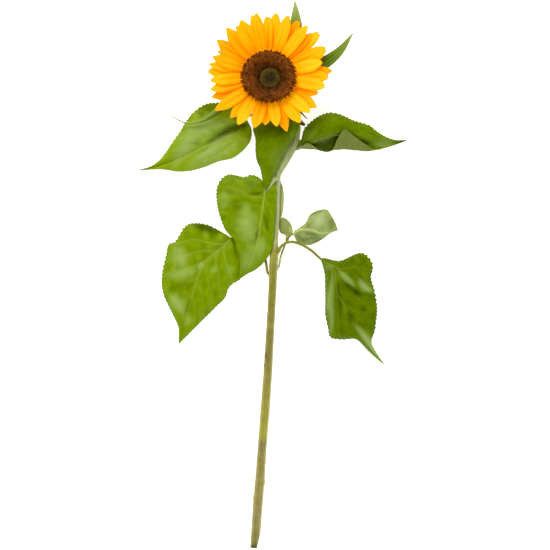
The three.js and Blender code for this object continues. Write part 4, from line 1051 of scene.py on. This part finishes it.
# Disc floret: a narrow fused tube of dark brown petals, matt and slightly furry, packed in spirals.
def discMaterial(name, look):
    material, tree = newMaterial(name)
    place = addNode(tree, "TexCoord", output="Object")
    radial, tip, own = (addNode(tree, "Attribute", output="Fac", attribute_name=mark)
                        for mark in ("radial", "tip", "own"))
    speckle, clump = (
        addNode(tree, "TexNoise", {"Vector": place, "Scale": 1 / (size * mm), "Detail": detail})
        for size, detail in ((look["speckleMm"], 4.0), (look["clumpMm"], 2.0)))
    ring = addNode(tree, "ValToRGB", {"Fac": radial}, stops=look["rings"])
    light = addNode(tree, "Mix", {0: 1.0, 6: ring, 7: colour(look["tipTint"])}, output=2, data_type="RGBA",
                    blend_type="SCREEN")
    whole = addNode(tree, "Mix", {0: tip, 6: ring, 7: light}, output=2, data_type="RGBA")
    speckled = addNode(tree, "MapRange", {"Value": speckle, "From Min": 0.3, "From Max": 0.7,
                                          "To Min": 0.6, "To Max": 1.35})
    clumped = addNode(tree, "MapRange", {"Value": clump, "From Min": 0.3, "From Max": 0.7,
                                         "To Min": 1 - look["clump"], "To Max": 1 + look["clump"]})
    varied = addNode(tree, "Math", {0: own, 1: clumped}, operation="ADD")
    for shade in (speckled, varied):
        whole = addNode(tree, "Mix", {0: 1.0, 6: whole, 7: shade}, output=2, data_type="RGBA",
                        blend_type="MULTIPLY")
    bump = addNode(tree, "Bump", {"Height": speckle, "Strength": 0.4, "Distance": 0.3 * mm})
    skin = addNode(tree, "BsdfPrincipled", {
        "Base Color": whole, "Roughness": look["roughness"], "Normal": bump, "IOR": 1.4,
        "Sheen Weight": 0.1, "Sheen Roughness": 0.6, "Sheen Tint": colour(look["fuzz"])})
    addNode(tree, "OutputMaterial", {"Surface": skin})
    return material


openFlorets = discMaterial("discFloretVelvet", {
    "rings": [(0.0, "#381f0b"), (0.12, "#4c280c"), (0.3, "#6a370f"), (0.6, "#774010"), (0.88, "#7f430d"),
              (1.0, "#8a4a09")],
    "tipTint": "#2a1505", "speckleMm": 1.4, "clumpMm": 5.0, "clump": 0.3, "roughness": 0.8, "fuzz": "#a8703c",
})
closedFlorets = discMaterial("discBudVelvet", {
    "rings": [(0.0, "#332717"), (0.35, "#3c2f1a"), (0.62, "#54441f"), (0.82, "#675220"), (1.0, "#4c3013")],
    "tipTint": "#1c1a08", "speckleMm": 1.2, "clumpMm": 4.0, "clump": 0.3, "roughness": 0.8, "fuzz": "#a89c68",
})

disc = {
    "ring": {
        "area": 4.2,  # square mm that one floret takes
        "height": 3.1, "sides": 10, "turn": 1.1, "vary": 0.24,
        "domeInner": head["eyeRadius"] + 0.3, "domeOuter": head["discRadius"] - 0.3, "domeDrop": 2.0,
        "inner": 9.0, "outer": head["discRadius"] - 0.8, "eyeGap": 0.9,
        "profile": [[0, 5.4], [13, 5.4], [17.5, 7.8], [23, 9], [27.5, 8.2], [29.8, 6.0]],  # radius, height
        # height, radius, how much it is lobed: a tube that flares into five lobes round a rough style
        "shape": [(0, 0.8, 0), (1.5, 0.9, 0), (2.3, 1.05, 0.1), (2.8, 1.3, 0.28), (2.6, 0.7, 0.1),
                  (2.4, 0.4, 0), (3.1, 0.34, 0), (3.5, 0.2, 0)],
    },
    "eye": {
        "area": 2.6,
        "height": 1.9, "sides": 8, "turn": 0.7, "vary": 0.16,
        "domeInner": 0.05, "domeOuter": head["eyeRadius"] - 0.1, "domeDrop": 1.2,
        "inner": 0, "outer": head["eyeRadius"] - 0.6,
        "profile": [[0, 5.2], [4.5, 5.8], [9, 6.2], [12, 5.4]],
        "shape": [(0, 0.6, 0), (0.7, 0.78, 0), (1.3, 0.66, 0), (1.7, 0.36, 0), (1.9, 0.16, 0)],
    },
    "turn": math.radians(137.508),  # the golden angle, from each floret to the next
    "slopeStep": 0.7, "leanShare": 0.8, "leanVary": 0.1,
    "rimBand": 1.6, "rimSplay": 0.8,  # florets this near the rim lean outwards by up to so much more
    "least": 0.92, "sizeVary": 0.16, "scatter": 0.15,
    "lobeLift": 0.35, "capRise": 0.15,
    "segments": 96, "rings": 20, "domeRimDrop": 1.6,
    "rimIn": 1.4,  # the far rim is drawn in a little, so the ring is not a perfect circle
}


def florets(spots, kind):
    # one closed little solid on each spot
    points, faces, tips = [], [], []
    template, sides = kind["shape"], kind["sides"]
    full = template[-1][0]
    angle = np.linspace(0, 2 * math.pi, sides, endpoint=False)
    lobe = np.cos(5 * angle)
    rings = np.arange(len(template) * sides).reshape(len(template), sides)
    for count, (foot, outX, outY, lean, size) in enumerate(spots):
        index = rings + count * (rings.size + 1)
        axis = unit(np.array([outX * math.sin(lean), outY * math.sin(lean), math.cos(lean)]))
        first = unit(np.cross(axis, [outY, -outX, 0.001]))
        second = np.cross(axis, first)
        turned = angle + kind["turn"] * count
        for height, radius, lobing in template:
            reach = radius * size * (1 + lobing * lobe)
            rise = height * size + disc["lobeLift"] * lobing * lobe * size
            points.append(foot + axis * rise[:, None] + first * (reach * np.cos(turned))[:, None]
                          + second * (reach * np.sin(turned))[:, None])
            tips.append(np.full(sides, height / full))
        points.append((foot + axis * (full + disc["capRise"]) * size)[None, :])
        tips.append([1.0])
        pole = index[-1, -1] + 1
        cap = [(index[-1, side], index[-1, (side + 1) % sides], pole) for side in range(sides)]
        faces += [wallFaces(index), cap + [tuple(index[0][::-1])]]
    own = np.repeat(kind["vary"] * chance.normal(size=len(spots)), rings.size + 1)
    return {
        "points": np.concatenate(points),
        "faces": faces,
        "marks": {"tip": np.concatenate(tips), "own": own},
    }


def spiralSpots(centre, kind, keep):
    # foot, direction outwards, lean outwards and size of each floret, in the order of the sunflower's spiral
    spots = []
    profile = np.array(kind["profile"], float).T
    step = disc["slopeStep"]
    for count in range(1, int(math.pi * kind["outer"] ** 2 / kind["area"]) + 1):
        radius = math.sqrt(kind["area"] * count / math.pi)
        dx, dy = radius * math.cos(count * disc["turn"]), radius * math.sin(count * disc["turn"])
        if radius < kind["inner"] or not keep(dx, dy):
            continue
        height, below, above = np.interp([radius, radius - step, radius + step], *profile)
        lean = math.atan((below - above) / (2 * step)) * disc["leanShare"]
        lean += disc["rimSplay"] * chance.random() if radius > kind["outer"] - disc["rimBand"] else 0
        lean += disc["leanVary"] * chance.normal()
        size = disc["least"] + disc["sizeVary"] * chance.random()
        foot = np.array([centre[0] + dx + disc["scatter"] * chance.normal(),
                         centre[1] + dy + disc["scatter"] * chance.normal(),
                         head["rimTop"] + height - kind["height"] * size])
        spots.append([foot, dx / radius, dy / radius, lean, size])
    return spots


def domePart(innerCentre, outerCentre, kind):
    # the body that the florets stand on: a ring or a disc with a flat floor and a domed top
    segments, rings = disc["segments"], disc["rings"]
    angle = np.linspace(0, 2 * math.pi, segments, endpoint=False)[None, :]
    share = np.linspace(0, 1, rings)[:, None]
    x, y = ((innerCentre[axis] + kind["domeInner"] * wave) * (1 - share)
            + (outerCentre[axis] + kind["domeOuter"] * wave) * share
            for axis, wave in enumerate((np.cos(angle), np.sin(angle))))
    radius = np.hypot(x - outerCentre[0], y - outerCentre[1])
    z = head["rimTop"] + np.interp(radius, *np.array(kind["profile"], float).T)
    z -= kind["domeDrop"] + disc["domeRimDrop"] * share ** 8
    top = np.stack([x, y, z], axis=-1).reshape(-1, 3)
    bottom = np.stack([x, y, np.full(x.shape, head["discFloor"])], axis=-1).reshape(-1, 3)
    index = np.arange(rings * segments).reshape(rings, segments)
    inner, outer = (np.stack([index[row], index[row] + index.size]) for row in (0, -1))
    faces = [wallFaces(index)[:, [0, 3, 2, 1]], wallFaces(index) + index.size, wallFaces(inner),
             wallFaces(outer)[:, [0, 3, 2, 1]]]
    return {"points": np.concatenate([top, bottom]), "faces": faces, "marks": {}}


def fillDisc():
    def clearOfEye(dx, dy):
        return math.hypot(headX + dx - eyeX, headY + dy - eyeY) > head["eyeRadius"] + disc["ring"]["eyeGap"]

    ring = florets(spiralSpots((headX, headY), disc["ring"], clearOfEye), disc["ring"])
    dome = domePart((eyeX, eyeY), (headX, headY), disc["ring"])
    for part in (ring, dome):
        fromHead = part["points"][:, :2] - [headX, headY]
        reach = np.hypot(*fromHead.T)
        drawn = (1 + fromHead[:, 1] / reach.clip(1)) * (reach / head["discRadius"]) ** 3
        part["points"][:, 1] -= disc["rimIn"] * drawn
        x, y = part["points"][:, :2].T
        fromEye = (np.hypot(x - eyeX, y - eyeY) - head["eyeRadius"]).clip(0)
        fromRim = (head["discRadius"] - np.hypot(x - headX, y - headY)).clip(0)
        part["marks"]["radial"] = fromEye / (fromEye + fromRim + 0.01)
    makePiece("discFloretRing", [dome, ring], [openFlorets], "disc_florets")

    buds = florets(spiralSpots((eyeX, eyeY), disc["eye"], lambda dx, dy: True), disc["eye"])
    dome = domePart((eyeX, eyeY), (eyeX, eyeY), disc["eye"])
    for part in (buds, dome):
        x, y = part["points"][:, :2].T
        part["marks"]["radial"] = np.hypot(x - eyeX, y - eyeY) / head["eyeRadius"]
    makePiece("discBudEye", [dome, buds], [closedFlorets], "disc_eye")
    print("disc filled")


fillDisc()


# Bract: a long green scale of the flower head, thin at the edge, downy, with parallel veins.
bractBlade = strapMaterial("bractDowny", {
    "tones": [(0.0, "#43340f"), (0.13, "#40560f"), (0.32, "#5d781a"), (0.55, "#7d9038"), (0.8, "#9aab64"),
              (1.0, "#b2be88")],
    "streakMm": 0.9, "streakRunMm": 30.0, "streak": 0.35,
    "edge": "#6d7a2c", "back": "#8f9c58",
    "roughness": 0.5, "shine": 0.3, "glow": 0.05, "sheen": 0.1, "sheenTint": "#e4ecc8", "through": 0.0,
})
# what bracts and calyx scales share
scaleForm = {
    "leastHalf": 0.15, "vein": 0.14, "veinFrom": 1.2, "twist": 0.3, "edgeBand": 0.3, "edgeThick": 0.4,
    "palerFrom": 0.75, "veinTone": 0.14, "toneWave": 0.1,
}
bract = {**scaleForm, "rows": 100, "columns": 12, "keel": 0.12, "thick": 0.6}
# x, y, z and half width along the keel, how pale it is, how much paler towards its tip, and how much paler
# towards its right, which paints light on one side and shade on the other
longBracts = {
    "bract_top": [[[5.1, 235.4, 26.7, 3], [7.8, 240, 30, 3.6], [10.8, 245, 33.2, 4.4], [18.6, 258, 34.6, 6],
                   [24.9, 272, 35.6, 7.2], [25.2, 285, 35.4, 4.7], [24.4, 301.4, 34, 0.4]], 0.68, 0.3, 0],
    "bract_right": [[[14.3, 220.6, 26.7, 3], [20, 221.6, 30.2, 3.8], [26, 222.8, 33.4, 4.6],
                     [42, 226.8, 35, 6], [57, 233, 35.8, 6.8], [73.4, 245.8, 36.4, 4.8],
                     [88.4, 265.7, 36, 0.4]], 0.43, 0.5, 0],
    # bract_left is painted paler on its upper side and darker on its lower edge: painted light and shade
    "bract_left": [[[-20.8, 209.4, 26.7, 3], [-25.6, 206.4, 30.2, 3.8], [-31, 203, 33.2, 4.4],
                    [-52, 188.6, 32.4, 4.4], [-64, 177.4, 30.6, 3.4], [-77, 169.6, 27.2, 2],
                    [-95, 166.8, 24, 0.9], [-112.2, 174.8, 22, 0.4]], 0.45, 0.1, 0.3],
    "bract_lower_right": [[[8.2, 205, 26.6, 3], [11.8, 201, 30, 3.6], [15.8, 196.4, 33, 4.2],
                           [24, 187, 34.2, 3.6], [30.4, 179, 34, 1.4], [38, 171, 32, 0.4]], 0.3, -0.5, 0],
    "bract_bottom": [[[6.2, 203, 25.2, 2.6], [9.4, 198.6, 28.6, 3.2], [12.8, 193.8, 31.6, 3.6],
                      [21, 182, 32.8, 3.6], [27, 172.5, 32.4, 2.8], [30.4, 167.6, 31, 2.6],
                      [35.4, 164.4, 29, 1.4]], 0.2, -1.0, 0],
}


def scalePart(path, tone, slope, flank, form, number):
    line = evenly(smoothLine(path), form["rows"] + 1)
    centres, halfWidth = line[:, :3], np.maximum(line[:, 3:], form["leastHalf"])
    share, across = gridOfShares(form["rows"], form["columns"])
    travel = travelAlong(centres)[:, None]
    ahead = unit(np.gradient(centres, axis=0))
    right = unit(np.stack([ahead[:, 1], -ahead[:, 0], 0 * ahead[:, 0]], axis=1))
    grid = centres[:, None, :] + right[:, None, :] * (across * halfWidth)[..., None]
    arch = np.sin(math.pi * share)
    veins = 0.5 + 0.5 * np.cos(across * math.pi * 3)
    grid[..., 2] += form["keel"] * halfWidth * np.abs(across)
    grid[..., 2] -= form["vein"] * veins * arch * (halfWidth > form["veinFrom"])
    grid[..., 2] += form["twist"] * np.sin(travel / 5 + number) * across * arch
    inwards = ((1 - np.abs(across)) / form["edgeBand"]).clip(0, 1)
    thickness = form["thick"] * (form["edgeThick"] + (1 - form["edgeThick"]) * inwards)
    return thickened(grid, thickness, {
        "tone": (tone + slope * (share - form["palerFrom"]) + flank * across
                 + form["veinTone"] * (veins - 0.5) + form["toneWave"] * np.sin(share * 7 + number)),
        "margin": 0.5 * (np.abs(across) > 0.9),
        "acrossMm": across * halfWidth,
        "alongMm": travel + 0 * across,
        "own": np.full(across.shape, 50.0 + 3.1 * number),
    })


for number, (node, row) in enumerate(longBracts.items()):
    name = pieceName("long_" + node)
    makePiece(name, [scalePart(*row, bract, number)], [bractBlade], node)


# Calyx: the green cup of overlapping scales under the petals, and the fleshy receptacle that it wraps.
calyxScales = strapMaterial("calyxScaleDowny", {
    "tones": [(0.0, "#55661c"), (0.4, "#6f8430"), (0.7, "#869b48"), (1.0, "#a3b26a")],
    "streakMm": 1.0, "streakRunMm": 24.0, "streak": 0.4,
    "edge": "#93a058", "back": "#74873a",
    "roughness": 0.6, "shine": 0.3, "glow": 0.05, "sheen": 0.1, "sheenTint": "#e4ecc8", "through": 0.0,
})
calyx = {
    **scaleForm,
    "scales": 22,
    "segments": 132,
    "furrows": 0.006, "smooth": 8,  # share of the radius, and the radius up to which there are none
    # radius and height round each section
    "receptacle": [[0.3, 24], [6.5, 24], [8.4, 24.5], [10, 25.5], [12.5, 26.9], [15, 28.5], [20, 31.5],
                   [22.4, 33.2], [24, 35], [25.1, 36.6], [25.5, 38], [25.5, 41], [25.5, 43.6], [25.1, 44],
                   [12, 44], [0.3, 44]],
    "cup": [[15.9, 26.6], [18.4, 28.0], [20.9, 29.6], [23.2, 31.5], [25.3, 33.6], [26.6, 35.1], [27.6, 36.4],
            [27.2, 37.1], [26.4, 37.4], [25.5, 36], [24.5, 34.6], [22.5, 32.7], [20.4, 30.9], [17.9, 29.3],
            [15.4, 27.9], [15.3, 27.2]],
    # radius, height, half width along each scale
    "scale": [(25.9, 35.2, 4.0), (27.4, 35.9, 4.4), (29.4, 36.4, 4.3), (32, 36.7, 3.6), (36, 36.8, 2.2),
              (39, 36.6, 1.0), (41.5, 36.3, 0.2)],
    "rows": 30, "columns": 8, "keel": -0.1, "thick": 0.7,
}


def ringPart(profile, closed, tone):
    # a closed solid turned about the head's axis; the profile is a loop, or runs from pole to pole
    profile = np.array(profile, float)
    count, segments = len(profile), calyx["segments"]
    angle = np.linspace(0, 2 * math.pi, segments, endpoint=False)
    furrowed = calyx["furrows"] * np.cos(calyx["scales"] * angle) * (profile[:, :1] > calyx["smooth"])
    radius = profile[:, :1] * (1 + furrowed)
    grid = np.stack([headX + radius * np.cos(angle), headY + radius * np.sin(angle),
                     profile[:, 1:] + 0 * radius], axis=-1)
    index = np.arange(count * segments).reshape(count, segments)
    if closed:
        faces = [wallFaces(np.vstack([index, index[:1]]))]
    else:
        faces = [wallFaces(index), [tuple(index[0][::-1].tolist()), tuple(index[-1].tolist())]]
    return {
        "points": grid.reshape(-1, 3),
        "faces": faces,
        "marks": {"tone": tone, "margin": 0.0, "underside": 0.0, "own": 9.0,
                  "acrossMm": np.tile(angle * 22, count), "alongMm": np.repeat(profile[:, 0], segments)},
    }


def dressHead():
    makePiece("receptacle", [ringPart(calyx["receptacle"], False, 0.4)], [calyxScales], "receptacle")
    parts = [ringPart(calyx["cup"], True, 0.35)]
    for number in range(calyx["scales"]):
        angle = 2 * math.pi * number / calyx["scales"]
        path = [[headX + radius * math.cos(angle), headY + radius * math.sin(angle), z, half]
                for radius, z, half in calyx["scale"]]
        parts.append(scalePart(path, 0.45 + 0.15 * math.sin(number * 4), 0, 0, calyx, number))
    makePiece("calyxCup", parts, [calyxScales], "calyx")
    print("head dressed")


dressHead()

# Studio: a plain white table lit a little from below, a broad soft light beyond the head, a weaker one at the
# foot, and an even grey surround that is darker straight above, so flat skins keep their colour.
table = {"side": 6.0, "white": "#f4f4f3", "glow": 0.7}
tableMesh = bpy.data.meshes.new("table")
half = table["side"] / 2
tableMesh.from_pydata([(-half, -half, 0), (half, -half, 0), (half, half, 0), (-half, half, 0)], [],
                      [(0, 1, 2, 3)])
tableTop = bpy.data.objects.new("table", tableMesh)
bpy.context.scene.collection.objects.link(tableTop)
tablePaint, tableTree = newMaterial("tablePaintMatt")
tableSkin = addNode(tableTree, "BsdfPrincipled", {
    "Base Color": colour(table["white"]), "Roughness": 0.9, "Specular IOR Level": 0.1,
    "Emission Color": colour("#ffffff"), "Emission Strength": table["glow"]})
addNode(tableTree, "OutputMaterial", {"Surface": tableSkin})
tableMesh.materials.append(tablePaint)

lights = {
    "softKey": {"place": (-0.5, 1.4, 1.5), "aim": (0, 0.05, 0), "width": 1.0, "watts": 31, "tint": "#fffaf2"},
    "footFill": {"place": (0.7, -1.4, 1.1), "aim": (0, 0, 0), "width": 1.4, "watts": 11, "tint": "#f6f9ff"},
}
for name, look in lights.items():
    lightData = bpy.data.lights.new(name, "AREA")
    lightData.shape = "DISK"
    lightData.size = look["width"]
    lightData.energy = look["watts"]
    lightData.color = colour(look["tint"])[:3]
    lamp = bpy.data.objects.new(name, lightData)
    lamp.location = look["place"]
    lamp.rotation_euler = (Vector(look["aim"]) - Vector(look["place"])).to_track_quat("-Z", "Y").to_euler()
    bpy.context.scene.collection.objects.link(lamp)

surround = {"straightUp": 0.12, "level": 0.88, "fadeFrom": 0.55, "fadeTo": 0.98}
surroundWorld = bpy.data.worlds.new("studioSurround")
surroundWorld.use_nodes = True
surroundTree = surroundWorld.node_tree
surroundTree.nodes.clear()
direction = addNode(surroundTree, "TexCoord", output="Generated")
upward = addNode(surroundTree, "SeparateXYZ", {0: direction}, output="Z")
strength = addNode(surroundTree, "MapRange", {
    "Value": upward, "From Min": surround["fadeFrom"], "From Max": surround["fadeTo"],
    "To Min": surround["level"], "To Max": surround["straightUp"]}, interpolation_type="SMOOTHSTEP")
surroundLight = addNode(surroundTree, "Background", {"Color": colour("#ffffff"), "Strength": strength})
addNode(surroundTree, "OutputWorld", {"Surface": surroundLight})
bpy.context.scene.world = surroundWorld
finish = bpy.context.scene.view_settings
finish.view_transform = "Standard"
finish.use_curve_mapping = True
finish.curve_mapping.black_level = (0.01, 0.01, 0.01)

# the camera looks straight down from high above, so the flower keeps its plan
view = {"middle": (0.0026, -0.0005), "height": 20.0, "flowerHeight": 0.02, "spanMm": 605, "sensor": 36}
cameraData = bpy.data.cameras.new("tableCamera")
cameraData.sensor_width = view["sensor"]
cameraData.lens = view["sensor"] * (view["height"] - view["flowerHeight"]) / (view["spanMm"] * mm)
camera = bpy.data.objects.new("tableCamera", cameraData)
camera.location = (*view["middle"], view["height"])
bpy.context.scene.collection.objects.link(camera)
bpy.context.scene.camera = camera

print("cut sunflower: ready")
